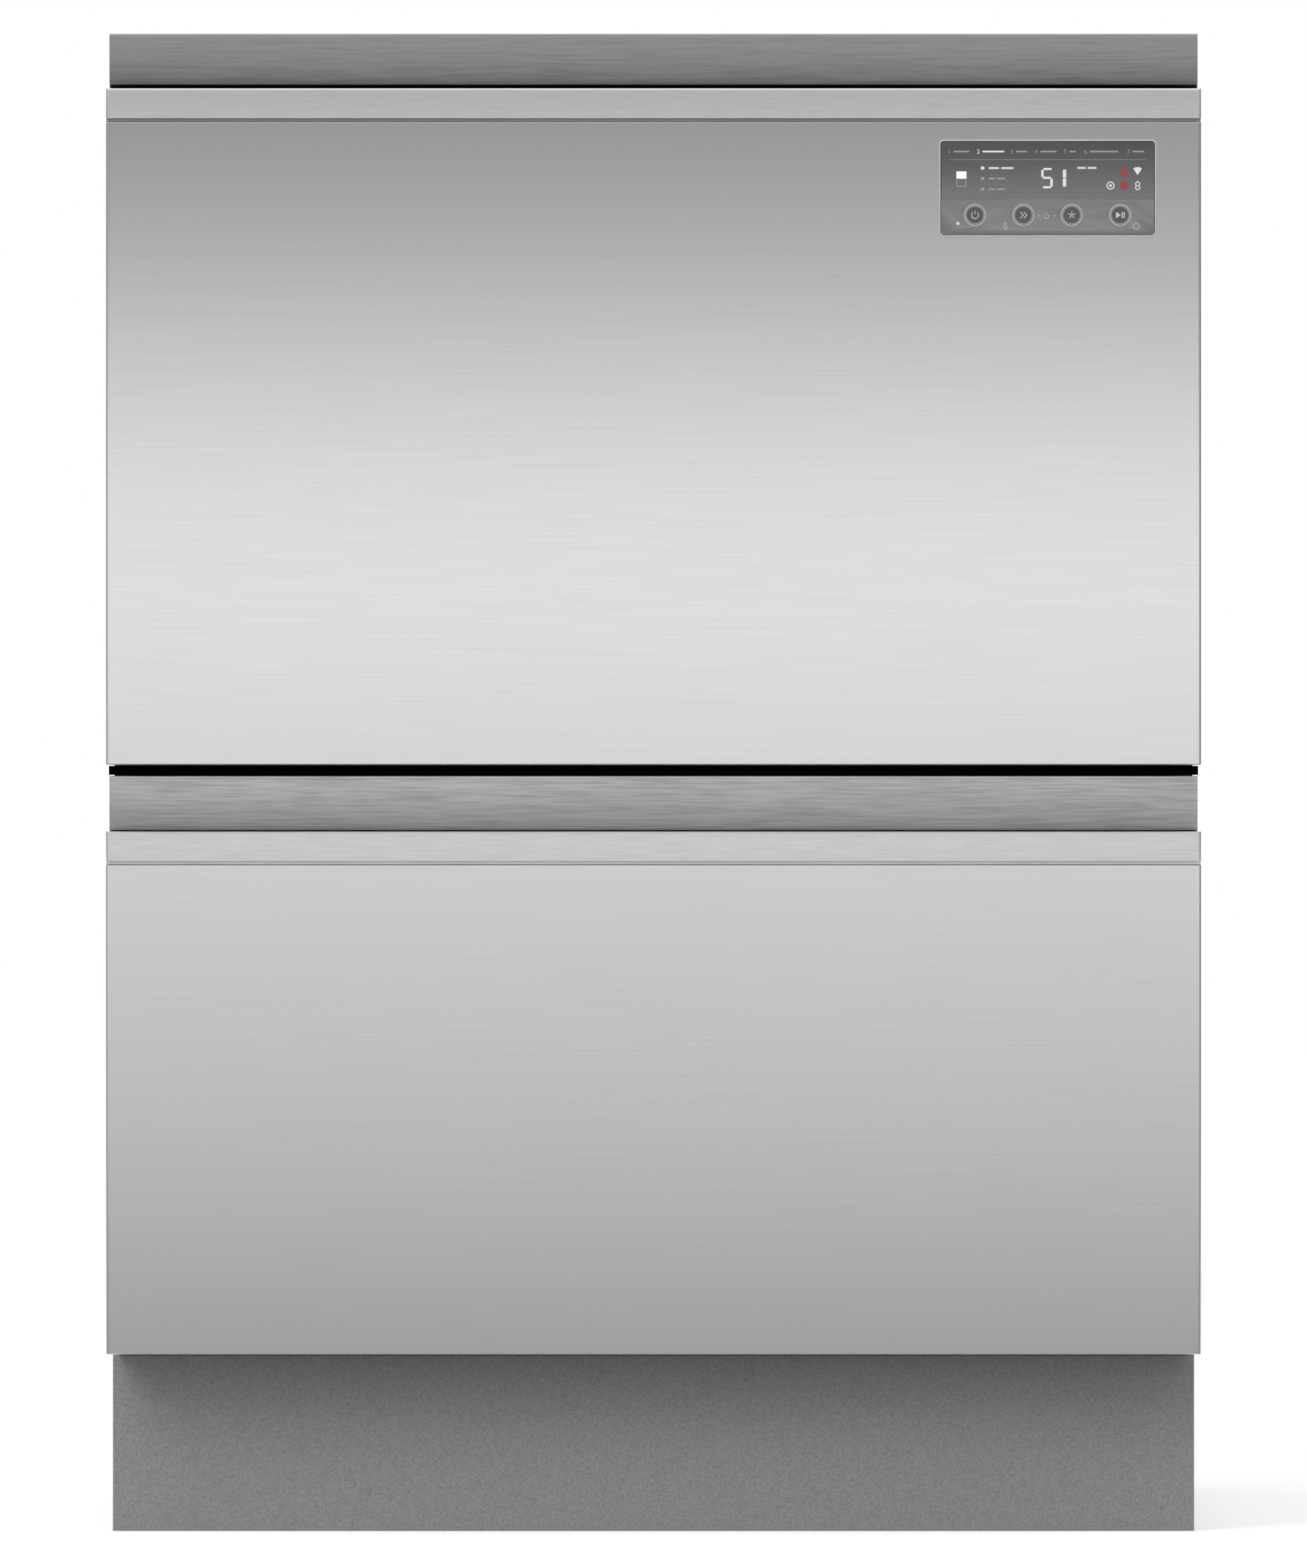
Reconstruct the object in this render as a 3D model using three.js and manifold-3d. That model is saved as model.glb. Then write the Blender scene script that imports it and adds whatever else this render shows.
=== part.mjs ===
// A double dishwasher drawer for building in under a worktop. Two wash drawers ride on telescopic runners in
// one steel cabinet, each with its own tub, spray arm, racks and a lid that drops on to the tub to seal it.
//
// Millimetres. +X is the user's right, -Y is the front and +Z is up. The origin is on the floor, under the
// middle of the appliance.

import * as THREE from 'three';
import { mergeVertices } from 'three/addons/utils/BufferGeometryUtils.js';
import Module from 'manifold-3d';

// ---- Driving dimensions ----

// Overall sizes, and the drawer fronts from the floor up.
const frontWidth = 599;
const overallDepth = 573;
const toeKickTop = 98;
const toeKickGap = 1.1;
const lowerPanelHeight = 267.9;
const upperPanelHeight = 352;
const grooveHeight = 1.5;
const stripHeight = 16.6;
const slotHeight = 1.9;
const bandHeight = 28.5;
const drawerGap = 5.8;

// Gap between pieces that touch on the real appliance, and between pieces that slide past each other.
const seatGap = 0.3;
const slideGap = 0.7;

// Drawer fronts.
const panelSkin = 1.2;
const panelCorner = 2.2;
const sideReturn = 18;
const topReturn = 3;
const stripThickness = 2.5;
const stripRounding = 1.2;
const stripBacking = 2.2;
const bandInset = 2.25;
const bandTopSetback = 13;
const bandBottomSetback = 22.5;
const bandSkin = 1.2;
const bandRounding = 2.4;
const frontBodyInset = 3;
const shoulderDepth = 25;
const innerFrontDepth = 42;
const innerFrontWall = 5;
const gripPocketBelow = 14;
const gripPocketDepth = 30;
const gripPocketEnd = 12;
const bayFloor = 12;
const bayRib = 6;

// Controls, set into the upper front.
const controlWidth = 117;
const controlHeight = 51.3;
const controlRight = 25.6;
const controlDown = 10.9;
const windowHeight = 31.4;
const controlThickness = 3;
const controlLedge = 3;
const boardDepth = 9.4;
const boardThickness = 1.6;
const buttonRadius = 5;
const buttonPitch = 26.45;
const buttonDown = 9;
const buttonFlange = 1.4;
const buttonFlangeThickness = 1;
const buttonStroke = 1.4;
const buttonStemRadius = 2;
const buttonLift = 0.2;

// Cabinet.
const chassisInset = 4.5;
const chassisGap = 1;
const sheet = 1;
const frontFlange = 3;
const rearFlange = 12;
const ceilingDrop = 5.8;
const shelfHeight = 5;
const shelfSheet = 1.2;
const sideBottom = 40;
const frontBodyPlay = 2;

// Plinth, base tray and feet.
const toeKickInset = 3.9;
const toeKickSetback = 50;
const toeKickSheet = 1.5;
const toeKickBottom = 2;
const toeKickReturn = 12;
const trayFloor = 36;
const trayWall = 3;
const trayDepth = 54;
const socketInset = 40;
const socketRadius = 13;
const socketBottom = 14;
const footPadRadius = 20;
const footPadHeight = 8;
const footPadEdge = 4.8;
const footCollarRadius = 9;
const footStemLength = 80;
const footStemRadius = 5;
const footPlay = 0.5;

// Runners: a fixed outer rail, a middle rail that moves half as far, and the inner rail of the tub cradle.
const outerRailHeight = 45;
const outerRailDepth = 11;
const middleRailDepth = 8;
const innerRailDepth = 8.5;
const railWall = 1.5;
const railFrontGap = 1.5;
const railRearGap = 22;
const cradleShelf = 14;

// Tubs.
const tubWall = 3;
const tubFloorThickness = 4;
const tubCorner = 35;
const tubFlange = 5;
const tubFlangeThickness = 3;
const tubFrontGap = 0.5;
const tubRearSpace = 46.5;
const tubSideGap = 5.1;
const rimDrop = 60;
const sumpRadius = 92;
const sumpDrop = 12;
const shaftHole = 12;

// Wash motors, filter plates and spray arms.
const motorClearance = 2.5;
const motorHeight = 38.5;
const motorRadius = 62;
const motorFlange = 18;
const motorFlangeThickness = 3;
const motorNeckRadius = 9;
const motorNeckHeight = 3.5;
const shaftRadius = 4;
const filterRadius = 120;
const filterThickness = 3;
const filterCollar = 20;
const filterHole = 14;
const sprayArmRise = 12;
const sprayArmThickness = 14;
const sprayHubRadius = 22;
const sprayHubDrop = 2.5;
const sprayHubRise = 2;
const sprayHubBore = 4.6;
const sprayBoreDepth = 13;
const sprayArmClearance = 12;
const sprayTipRadius = 13;

// Lids.
const lidLift = 10;
const lidLandingGap = 0.4;
const sealHeight = 6;
const sealWidth = 13;
const lidHeight = 18;
const lidWall = 3;
const studRadius = 5;
const studHeight = 14;
const studPlay = 0.5;
const studSpacing = 300;
const actuatorLength = 420;
const actuatorWidth = 60;

// Racks, cup shelves and cutlery baskets.
const wire = 4;
const rackRise = 34;
const rackSideGap = 12;
const rackEndGap = 12;
const rackPitch = 86;
const crossPitch = 150;
const uprightPitch = 180;
const tinePitch = 130;
const rackTopClearance = 12;
const tineHeight = 50;
const tineHalf = 1.6;
const cupShelfReach = 100;
const cupShelfLength = 320;
const cupShelfRimGap = 5;
const cupBracket = 9;
const pivotRadius = 2;
const pivotPlay = 0.4;
const basketWidth = 70;
const basketLength = 300;
const basketHeight = 110;
const basketWall = 2.5;
const basketCells = 4;

// Detergent dispensers, moulded into the front wall of each tub.
const dispenserWidth = 140;
const dispenserHeight = 52;
const dispenserDepth = 12;
const dispenserDown = 13;
const doseWidth = 62;
const doseHeight = 34;
const doseOffset = 22;
const dispenserLidThickness = 3;
const dispenserLidLap = 4;

// Services.
const moduleSize = new THREE.Vector3(160, 110, 34);
const moduleRight = -40;
const moduleRearSpace = 33;
const plugDepth = 8;
const plugInset = 20;
const plugHeights = [6, 18];
const valveInset = 100;
const valvePortRadius = 13;
const valvePortWall = 3;
const valvePortLength = 24;
const valvePortRise = 18;
const valvePortPlay = 2;
const valveBody = new THREE.Vector3(44, 40, 30);
const valveCoilRadius = 13;
const hoseHole = 16;
const hosePitch = 60;
const hoseRise = 22;
const cordHole = 9;

const roundSegments = 24;
const buttonSegments = 16;
const smallSegments = 12;
const pinSegments = 8;
const cornerSegments = 4;
const fractions = [0, 0.2, 0.4, 0.6, 0.8, 1];
const flatness = 0.002;

// ---- Places that follow from the dimensions ----

const frontFace = -overallDepth / 2;
const rearFace = overallDepth / 2;
const frontHalf = frontWidth / 2;
const chassisHalf = frontHalf - chassisInset;
const chassisInner = chassisHalf - sheet;
const shoulder = frontFace + shoulderDepth;
const chassisFront = shoulder + chassisGap;
const innerFrontRear = frontFace + innerFrontDepth;
const gripStack = grooveHeight + stripHeight + slotHeight + bandHeight;

const trayTop = trayFloor + trayDepth;
const railFront = innerFrontRear + railFrontGap;
const railRear = rearFace - sheet - railRearGap;
const outerRail = { out: chassisInner - seatGap, depth: outerRailDepth, half: outerRailHeight / 2 };
const middleRail = {
  out: chassisHalf - frontFlange - slideGap,
  depth: middleRailDepth,
  half: outerRail.half - railWall - slideGap,
};
const innerRail = {
  out: middleRail.out - railWall - slideGap,
  depth: innerRailDepth,
  half: middleRail.half - railWall - slideGap,
};
const innerRailWeb = innerRail.out - innerRail.depth;

const tub = {
  half: innerRailWeb - tubSideGap,
  front: innerFrontRear + tubFrontGap + tubFlange,
  rear: rearFace - tubRearSpace - tubFlange,
};
tub.middle = (tub.front + tub.rear) / 2;
const tubInnerHalf = tub.half - tubWall;
const tubInnerFront = tub.front + tubWall;
const tubInnerRear = tub.rear - tubWall;

const control = {
  right: frontHalf - controlRight,
  left: frontHalf - controlRight - controlWidth,
};

// Heights inside one drawer, counted from the bottom edge of its front panel.
function levelsOf(panelHeight) {
  const level = { panelTop: panelHeight };
  level.stripBottom = level.panelTop + grooveHeight;
  level.stripTop = level.stripBottom + stripHeight;
  level.bandBottom = level.stripTop + slotHeight;
  level.gripTop = panelHeight + gripStack;
  level.ceiling = level.gripTop - ceilingDrop;
  level.rim = level.gripTop - rimDrop;
  level.pocketFloor = level.stripBottom - gripPocketBelow;
  level.sumpBottom = motorClearance + motorHeight + seatGap;
  level.tubBottom = level.sumpBottom + sumpDrop;
  level.tubFloor = level.tubBottom + tubFloorThickness;
  level.rail = level.tubBottom - seatGap + innerRail.half - railWall;
  level.sprayArm = level.tubFloor + sprayArmRise;
  level.rack = level.tubFloor + rackRise;
  level.dispenserTop = level.rim - dispenserDown;
  level.dispenserBottom = level.dispenserTop - dispenserHeight;
  level.rackTop = level.dispenserBottom - rackTopClearance;
  level.cupHinge = level.rim - cupShelfRimGap - cupShelfReach;
  level.seal = level.rim + lidLandingGap + lidLift;
  level.lid = level.seal + sealHeight + seatGap;
  level.lidTop = level.lid + lidHeight;
  return level;
}

const lowerBase = toeKickTop + toeKickGap;
const lowerLevel = levelsOf(lowerPanelHeight);
const upperBase = lowerBase + lowerLevel.gripTop + drawerGap;
const upperLevel = levelsOf(upperPanelHeight);
const chassisTop = upperBase + upperLevel.ceiling + sheet;

// ---- Solids ----

const wasm = await Module();
wasm.setup();

// A closed geometry as a solid that can be joined and cut.
function solidOf(geometry) {
  const bare = geometry.index ? geometry.toNonIndexed() : geometry.clone();
  bare.deleteAttribute('normal');
  bare.deleteAttribute('uv');
  const merged = mergeVertices(bare, 1e-4);
  return new wasm.Manifold(
    new wasm.Mesh({
      numProp: 3,
      vertProperties: merged.attributes.position.array,
      triVerts: new Uint32Array(merged.index.array),
    }),
  );
}

// The solid's triangles as a geometry with flat faces. Faces that lie in one plane are made whole first, and
// corners snap to a micron.
function geometryOf(solid) {
  const whole = solid.asOriginal().simplify(flatness);
  const { numProp, numVert, vertProperties, triVerts } = whole.getMesh();
  const positions = new Float32Array(numVert * 3);
  for (let i = 0; i < numVert; i++) {
    for (let axis = 0; axis < 3; axis++) {
      positions[i * 3 + axis] = Math.round(vertProperties[i * numProp + axis] * 1000) / 1000;
    }
  }
  const geometry = new THREE.BufferGeometry();
  geometry.setAttribute('position', new THREE.BufferAttribute(positions, 3));
  geometry.setIndex(new THREE.BufferAttribute(triVerts, 1));
  const flat = geometry.toNonIndexed();
  flat.computeVertexNormals();
  return flat;
}

const join = (first, ...rest) => rest.reduce((whole, piece) => whole.add(piece), first);
const cut = (first, ...rest) => rest.reduce((whole, piece) => whole.subtract(piece), first);

// A block between two limits on each axis. Its corners take the limits exactly, so equal faces meet.
function block([x0, x1], [y0, y1], [z0, z1]) {
  const geometry = new THREE.BoxGeometry();
  const corners = geometry.attributes.position;
  for (let i = 0; i < corners.count; i++) {
    corners.setXYZ(
      i,
      corners.getX(i) < 0 ? x0 : x1,
      corners.getY(i) < 0 ? y0 : y1,
      corners.getZ(i) < 0 ? z0 : z1,
    );
  }
  return solidOf(geometry);
}

const extrude = (shape, depth) =>
  new THREE.ExtrudeGeometry(shape, { depth, bevelEnabled: false, curveSegments: cornerSegments });

const outline = (points) => new THREE.Shape(points.map(([u, v]) => new THREE.Vector2(u, v)));

// A shape drawn in X and Y, extruded upwards.
const alongZ = (shape, [z0, z1]) => solidOf(extrude(shape, z1 - z0).translate(0, 0, z0));

// A shape drawn in Y and Z, extruded along X.
function alongX(shape, [x0, x1]) {
  const axes = new THREE.Matrix4().makeBasis(
    new THREE.Vector3(0, 1, 0),
    new THREE.Vector3(0, 0, 1),
    new THREE.Vector3(1, 0, 0),
  );
  return solidOf(extrude(shape, x1 - x0).applyMatrix4(axes).translate(x0, 0, 0));
}

// A shape drawn in X and Z, extruded along Y.
function alongY(shape, [y0, y1]) {
  const axes = new THREE.Matrix4().makeBasis(
    new THREE.Vector3(1, 0, 0),
    new THREE.Vector3(0, 0, 1),
    new THREE.Vector3(0, -1, 0),
  );
  return solidOf(extrude(shape, y1 - y0).applyMatrix4(axes).translate(0, y1, 0));
}

// An upright cylinder, and one that lies along Y.
function post(x, y, radius, [z0, z1], segments = roundSegments) {
  const geometry = new THREE.CylinderGeometry(radius, radius, z1 - z0, segments);
  return solidOf(geometry.rotateX(Math.PI / 2).translate(x, y, (z0 + z1) / 2));
}

function pin(x, z, radius, [y0, y1], segments = pinSegments) {
  const geometry = new THREE.CylinderGeometry(radius, radius, y1 - y0, segments);
  return solidOf(geometry.translate(x, (y0 + y1) / 2, z));
}

// A turned solid about an upright axis: points are radius and height, and start and end on the axis.
function turned(points, x, y, segments = roundSegments) {
  const profile = points.map(([radius, height]) => new THREE.Vector2(radius, height));
  return solidOf(new THREE.LatheGeometry(profile, segments).rotateX(Math.PI / 2).translate(x, y, 0));
}

function roundedRectangle([x0, x1], [y0, y1], radius) {
  const shape = new THREE.Shape();
  shape.absarc(x1 - radius, y0 + radius, radius, -Math.PI / 2, 0);
  shape.absarc(x1 - radius, y1 - radius, radius, 0, Math.PI / 2);
  shape.absarc(x0 + radius, y1 - radius, radius, Math.PI / 2, Math.PI);
  shape.absarc(x0 + radius, y0 + radius, radius, Math.PI, Math.PI * 1.5);
  return shape;
}

// The tub's plan outline, grown by some distance, between two heights.
const tubOutline = (grow, heights) =>
  alongZ(
    roundedRectangle(
      [-tub.half - grow, tub.half + grow],
      [tub.front - grow, tub.rear + grow],
      tubCorner + grow,
    ),
    heights,
  );

// ---- Materials ----

const paint = (color, roughness, metalness) =>
  new THREE.MeshStandardMaterial({ color, roughness, metalness });
const brushedSteel = paint(0xb9bbbc, 0.35, 1);
const galvanisedSteel = paint(0x9da1a3, 0.45, 0.9);
const zincSteel = paint(0xc3c5c4, 0.3, 1);
const plinthPaint = paint(0x7f8081, 0.5, 0.4);
const darkPlastic = paint(0x2b2d2f, 0.55, 0);
const tubPlastic = paint(0xb4b9bc, 0.5, 0);
const lidPlastic = paint(0xc8cbcc, 0.5, 0);
const sealRubber = paint(0x3a3c3e, 0.8, 0);
const smokedWindow = paint(0x5f6061, 0.2, 0);
const controlPlastic = paint(0x808181, 0.35, 0);
const buttonPlastic = paint(0x565757, 0.4, 0);
const boardGreen = paint(0x1f5a3a, 0.6, 0);
const motorBlack = paint(0x24262a, 0.6, 0);
const filterGrey = paint(0x6a6e72, 0.5, 0);
const sprayPlastic = paint(0x8d9296, 0.45, 0);
const coatedWire = paint(0xa9adb0, 0.5, 0);
const basketPlastic = paint(0x8f9498, 0.5, 0);
const trayPlastic = paint(0x33363a, 0.7, 0);
const valveWhite = paint(0xe3e3df, 0.5, 0);

function mesh(name, solid, material) {
  const made = new THREE.Mesh(geometryOf(solid), material);
  made.name = name;
  return made;
}

// ---- Drawer front ----

// A folded steel tray, open at the back, with rounded upright edges.
function frontPanel(name, level, opening) {
  const half = frontHalf;
  const back = frontFace + sideReturn;
  const outside = new THREE.Shape();
  outside.absarc(half - panelCorner, frontFace + panelCorner, panelCorner, -Math.PI / 2, 0);
  outside.lineTo(half, back);
  outside.lineTo(-half, back);
  outside.absarc(panelCorner - half, frontFace + panelCorner, panelCorner, Math.PI, Math.PI * 1.5);
  const whole = alongZ(outside, [0, level.panelTop]);
  const inside = [panelSkin - half, half - panelSkin];
  const hollow = block(
    inside,
    [frontFace + panelSkin, back + 1],
    [panelSkin, level.panelTop - panelSkin],
  );
  const behindTopReturn = block(
    inside,
    [frontFace + topReturn, back + 1],
    [level.panelTop - panelSkin - 1, level.panelTop + 1],
  );
  const skin = cut(whole, hollow, behindTopReturn);
  return mesh(name, opening ? cut(skin, opening) : skin, brushedSteel);
}

// The pull: a plate flush with the panel, with its top edge rounded over.
function handleStrip(name, level) {
  const profile = new THREE.Shape();
  const back = frontFace + stripThickness;
  profile.moveTo(back, level.stripTop);
  profile.lineTo(back, level.stripBottom);
  profile.lineTo(frontFace, level.stripBottom);
  profile.lineTo(frontFace, level.stripTop - stripRounding);
  profile.absarc(
    frontFace + stripRounding, level.stripTop - stripRounding, stripRounding, Math.PI, Math.PI / 2, true,
  );
  return mesh(name, alongX(profile, [-frontHalf, frontHalf]), brushedSteel);
}

// The set-back band above the pull, from its bottom edge up and back over its rolled top. It is upright below
// the roll and curls back towards the finger pocket. The section is set back, and its top lowered, by some
// distance.
function bandSection(level, setback) {
  const rollCentre = [frontFace + bandTopSetback + bandRounding, level.gripTop - bandRounding];
  const curlHeight = rollCentre[1] - level.bandBottom;
  const curl = fractions.map((up) => [
    frontFace + setback + bandTopSetback + (bandBottomSetback - bandTopSetback) * (1 - up) ** 2,
    level.bandBottom + curlHeight * up,
  ]);
  const roll = fractions.slice(1).map((turn) => [
    rollCentre[0] - (bandRounding - setback) * Math.cos((turn * Math.PI) / 2),
    rollCentre[1] + (bandRounding - setback) * Math.sin((turn * Math.PI) / 2),
  ]);
  return [...curl, ...roll, [shoulder, level.gripTop - setback]];
}

function gripBand(name, level) {
  const profile = outline([...bandSection(level, 0), ...bandSection(level, bandSkin).reverse()]);
  const half = frontHalf - bandInset;
  return mesh(name, alongX(profile, [-half, half]), brushedSteel);
}

// The moulded body of the drawer front, with the grip pocket and the bays behind the steel panel.
function innerFront(name, level, controlBayTop, controlPocket) {
  const face = frontFace + panelSkin + seatGap;
  const stripBack = frontFace + stripThickness + seatGap;
  const bodyBottom = panelSkin + seatGap;
  const insideTop = level.ceiling - frontBodyPlay;
  const profile = outline([
    [face, bodyBottom],
    [innerFrontRear, bodyBottom],
    [innerFrontRear, insideTop],
    [shoulder, insideTop],
    ...bandSection(level, bandSkin + seatGap).reverse(),
    [frontFace + bandBottomSetback, level.stripTop - 1],
    [stripBack, level.stripTop - 1],
    [stripBack, level.stripBottom - seatGap],
    [face, level.stripBottom - seatGap],
    [face, level.panelTop + seatGap],
    [frontFace + topReturn + seatGap, level.panelTop + seatGap],
    [frontFace + topReturn + seatGap, level.panelTop - panelSkin - seatGap],
    [face, level.panelTop - panelSkin - seatGap],
  ]);
  const outerHalf = frontHalf - frontBodyInset;
  const rearHalf = chassisHalf - frontFlange - frontBodyPlay;
  const aside = (side) =>
    block(
      side > 0 ? [rearHalf, outerHalf + 1] : [-outerHalf - 1, -rearHalf],
      [shoulder, innerFrontRear + 1],
      [0, level.gripTop],
    );
  const pocketHalf = outerHalf - gripPocketEnd;
  const pocket = block(
    [-pocketHalf, pocketHalf],
    [stripBack + stripBacking, frontFace + gripPocketDepth],
    [level.pocketFloor, level.bandBottom - seatGap],
  );
  const bayBack = innerFrontRear - innerFrontWall;
  const bayWidth = (2 * pocketHalf - 2 * bayRib) / 3;
  const underPocket = level.pocketFloor - bayRib;
  const bays = [underPocket, underPocket, controlBayTop ?? underPocket].map((top, i) => {
    const left = i * (bayWidth + bayRib) - pocketHalf;
    return block([left, left + bayWidth], [face - 1, bayBack], [bayFloor, top]);
  });
  const body = cut(alongX(profile, [-outerHalf, outerHalf]), aside(1), aside(-1), pocket, ...bays);
  return mesh(name, controlPocket ? cut(body, ...controlPocket) : body, darkPlastic);
}

// ---- Controls ----

const controlTop = upperLevel.panelTop - controlDown;
const controlBottom = controlTop - controlHeight;
const windowBottom = controlTop - windowHeight;
const controlFace = frontFace + seatGap;
const controlBack = controlFace + controlThickness;
const buttonHeight = windowBottom - buttonDown;
const buttonNames = ['power_button', 'programme_button', 'option_button', 'start_button'];
const buttonPlace = (index) =>
  (control.left + control.right) / 2 + (index - (buttonNames.length - 1) / 2) * buttonPitch;

const controlOpening = block(
  [control.left, control.right],
  [frontFace - 1, frontFace + panelSkin + 1],
  [controlBottom, controlTop],
);

// A stepped pocket: the window and the button strip sit on its ledge, and the board on its floor.
const controlPocket = [
  block(
    [control.left - seatGap, control.right + seatGap],
    [frontFace, controlBack + seatGap],
    [controlBottom - seatGap, controlTop + seatGap],
  ),
  block(
    [control.left + controlLedge, control.right - controlLedge],
    [frontFace, frontFace + boardDepth + boardThickness + seatGap],
    [controlBottom + controlLedge, controlTop - controlLedge],
  ),
];

function controlPlate(heights) {
  return block([control.left + seatGap, control.right - seatGap], [controlFace, controlBack], heights);
}

function displayWindow() {
  const plate = controlPlate([windowBottom + seatGap / 2, controlTop - seatGap]);
  return mesh('display_window', plate, smokedWindow);
}

function buttonStrip() {
  const holes = buttonNames.map((_, index) =>
    pin(
      buttonPlace(index),
      buttonHeight,
      buttonRadius + seatGap,
      [frontFace, controlBack + 1],
      buttonSegments,
    ),
  );
  const plate = controlPlate([controlBottom + seatGap, windowBottom - seatGap / 2]);
  return mesh('button_strip', cut(plate, ...holes), controlPlastic);
}

// A cap with a flange that keeps it behind the strip, and a stem that reaches for its switch.
function button(name, index) {
  const flangeFront = controlBack + seatGap;
  const flangeBack = flangeFront + buttonFlangeThickness;
  const disc = (radius, depths, segments) => pin(buttonPlace(index), buttonHeight, radius, depths, segments);
  const cap = disc(buttonRadius, [controlFace - buttonLift, flangeBack], buttonSegments);
  const flange = disc(buttonRadius + buttonFlange, [flangeFront, flangeBack], buttonSegments);
  const stem = disc(buttonStemRadius, [flangeFront, frontFace + boardDepth - buttonStroke], pinSegments);
  return mesh(name, join(cap, flange, stem), buttonPlastic);
}

function displayBoard() {
  const inset = controlLedge + seatGap;
  const boardFront = frontFace + boardDepth;
  const board = block(
    [control.left + inset, control.right - inset],
    [boardFront, boardFront + boardThickness],
    [controlBottom + inset, controlTop - inset],
  );
  return mesh('display_board', board, boardGreen);
}

// ---- Tub and wash parts ----

// An open tub with a round sump in its floor, and the dispenser housing on its front wall.
function washTub(name, level) {
  const shell = join(
    tubOutline(0, [level.tubBottom, level.rim]),
    tubOutline(tubFlange, [level.rim - tubFlangeThickness, level.rim]),
    post(0, tub.middle, sumpRadius + tubWall, [level.sumpBottom, level.tubBottom + 1]),
  );
  const sumpFloor = level.sumpBottom + tubWall;
  const hollow = join(
    tubOutline(-tubWall, [level.tubFloor, level.rim + 1]),
    post(0, tub.middle, sumpRadius, [sumpFloor, level.tubFloor + 1]),
    post(0, tub.middle, shaftHole, [level.sumpBottom - 1, sumpFloor + 1]),
  );
  const housing = block(
    [-dispenserWidth / 2, dispenserWidth / 2],
    [tubInnerFront - 1, tubInnerFront + dispenserDepth],
    [level.dispenserBottom, level.dispenserTop],
  );
  const dose = block(
    [-doseOffset - doseWidth / 2, doseWidth / 2 - doseOffset],
    [tubInnerFront, tubInnerFront + dispenserDepth + 1],
    doseHeights(level),
  );
  return mesh(name, cut(join(cut(shell, hollow), housing), dose), tubPlastic);
}

function doseHeights(level) {
  const middle = (level.dispenserBottom + level.dispenserTop) / 2;
  return [middle - doseHeight / 2, middle + doseHeight / 2];
}

// The flap over the detergent cup. It is hinged along its lower edge.
function dispenserLid(name, level) {
  const [low, high] = doseHeights(level);
  const front = tubInnerFront + dispenserDepth + seatGap;
  const middle = -doseOffset;
  const half = doseWidth / 2 + dispenserLidLap;
  const plate = block(
    [middle - half, middle + half],
    [front, front + dispenserLidThickness],
    [low - dispenserLidLap, high + dispenserLidLap],
  );
  const thumbTab = block(
    [middle - half / 3, middle + half / 3],
    [front, front + 2 * dispenserLidThickness],
    [high, high + dispenserLidLap],
  );
  return mesh(name, join(plate, thumbTab), lidPlastic);
}

function washMotor(name, level) {
  const top = level.sumpBottom - seatGap;
  const shaftTop = level.sprayArm - sprayHubDrop + sprayBoreDepth - 1;
  const profile = [
    [0, motorClearance],
    [motorRadius, motorClearance],
    [motorRadius, top - motorFlangeThickness],
    [motorRadius + motorFlange, top - motorFlangeThickness],
    [motorRadius + motorFlange, top],
    [motorNeckRadius, top],
    [motorNeckRadius, top + motorNeckHeight],
    [shaftRadius, top + motorNeckHeight],
    [shaftRadius, shaftTop],
    [0, shaftTop],
  ];
  return mesh(name, turned(profile, 0, tub.middle), motorBlack);
}

function filterPlate(name, level) {
  const bottom = level.tubFloor + seatGap;
  const top = bottom + filterThickness;
  const disc = post(0, tub.middle, filterRadius, [bottom, top]);
  const collar = post(0, tub.middle, filterCollar, [bottom, top + filterThickness]);
  const hole = post(0, tub.middle, filterHole, [bottom - 1, top + filterThickness + 1]);
  return mesh(name, cut(join(disc, collar), hole), filterGrey);
}

// Two tapering blades on a hub that turns on the motor's shaft.
function sprayArm(name, level) {
  const reach = (tubInnerRear - tubInnerFront) / 2 - sprayArmClearance;
  const tip = reach - sprayTipRadius;
  const blades = new THREE.Shape();
  blades.absarc(tip, 0, sprayTipRadius, -Math.PI / 2, Math.PI / 2);
  blades.lineTo(0, sprayHubRadius);
  blades.absarc(-tip, 0, sprayTipRadius, Math.PI / 2, Math.PI * 1.5);
  blades.lineTo(0, -sprayHubRadius);
  const top = level.sprayArm + sprayArmThickness;
  const bottom = level.sprayArm - sprayHubDrop;
  const arm = alongZ(blades, [level.sprayArm, top]).translate([0, tub.middle, 0]);
  const hub = post(0, tub.middle, sprayHubRadius, [bottom, top + sprayHubRise]);
  const bore = post(0, tub.middle, sprayHubBore, [bottom - 1, bottom + sprayBoreDepth]);
  return mesh(name, cut(join(arm, hub), bore), sprayPlastic);
}

// ---- Racks ----

const rackHalf = tubInnerHalf - rackSideGap;
const rackFront = tubInnerFront + rackEndGap;
const rackRear = tubInnerRear - rackEndGap;
const cupHingeX = rackHalf - 2 * wire - cupBracket / 2;
const cupShelf = [tub.middle - cupShelfLength / 2, tub.middle + cupShelfLength / 2];
const basketLeft = wire + 2 * seatGap - rackHalf;

// Evenly spaced places between two limits, no further apart than the pitch.
function spaced(low, high, pitch) {
  const steps = Math.ceil((high - low) / pitch);
  return Array.from({ length: steps + 1 }, (_, i) => low + ((high - low) * i) / steps);
}

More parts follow.
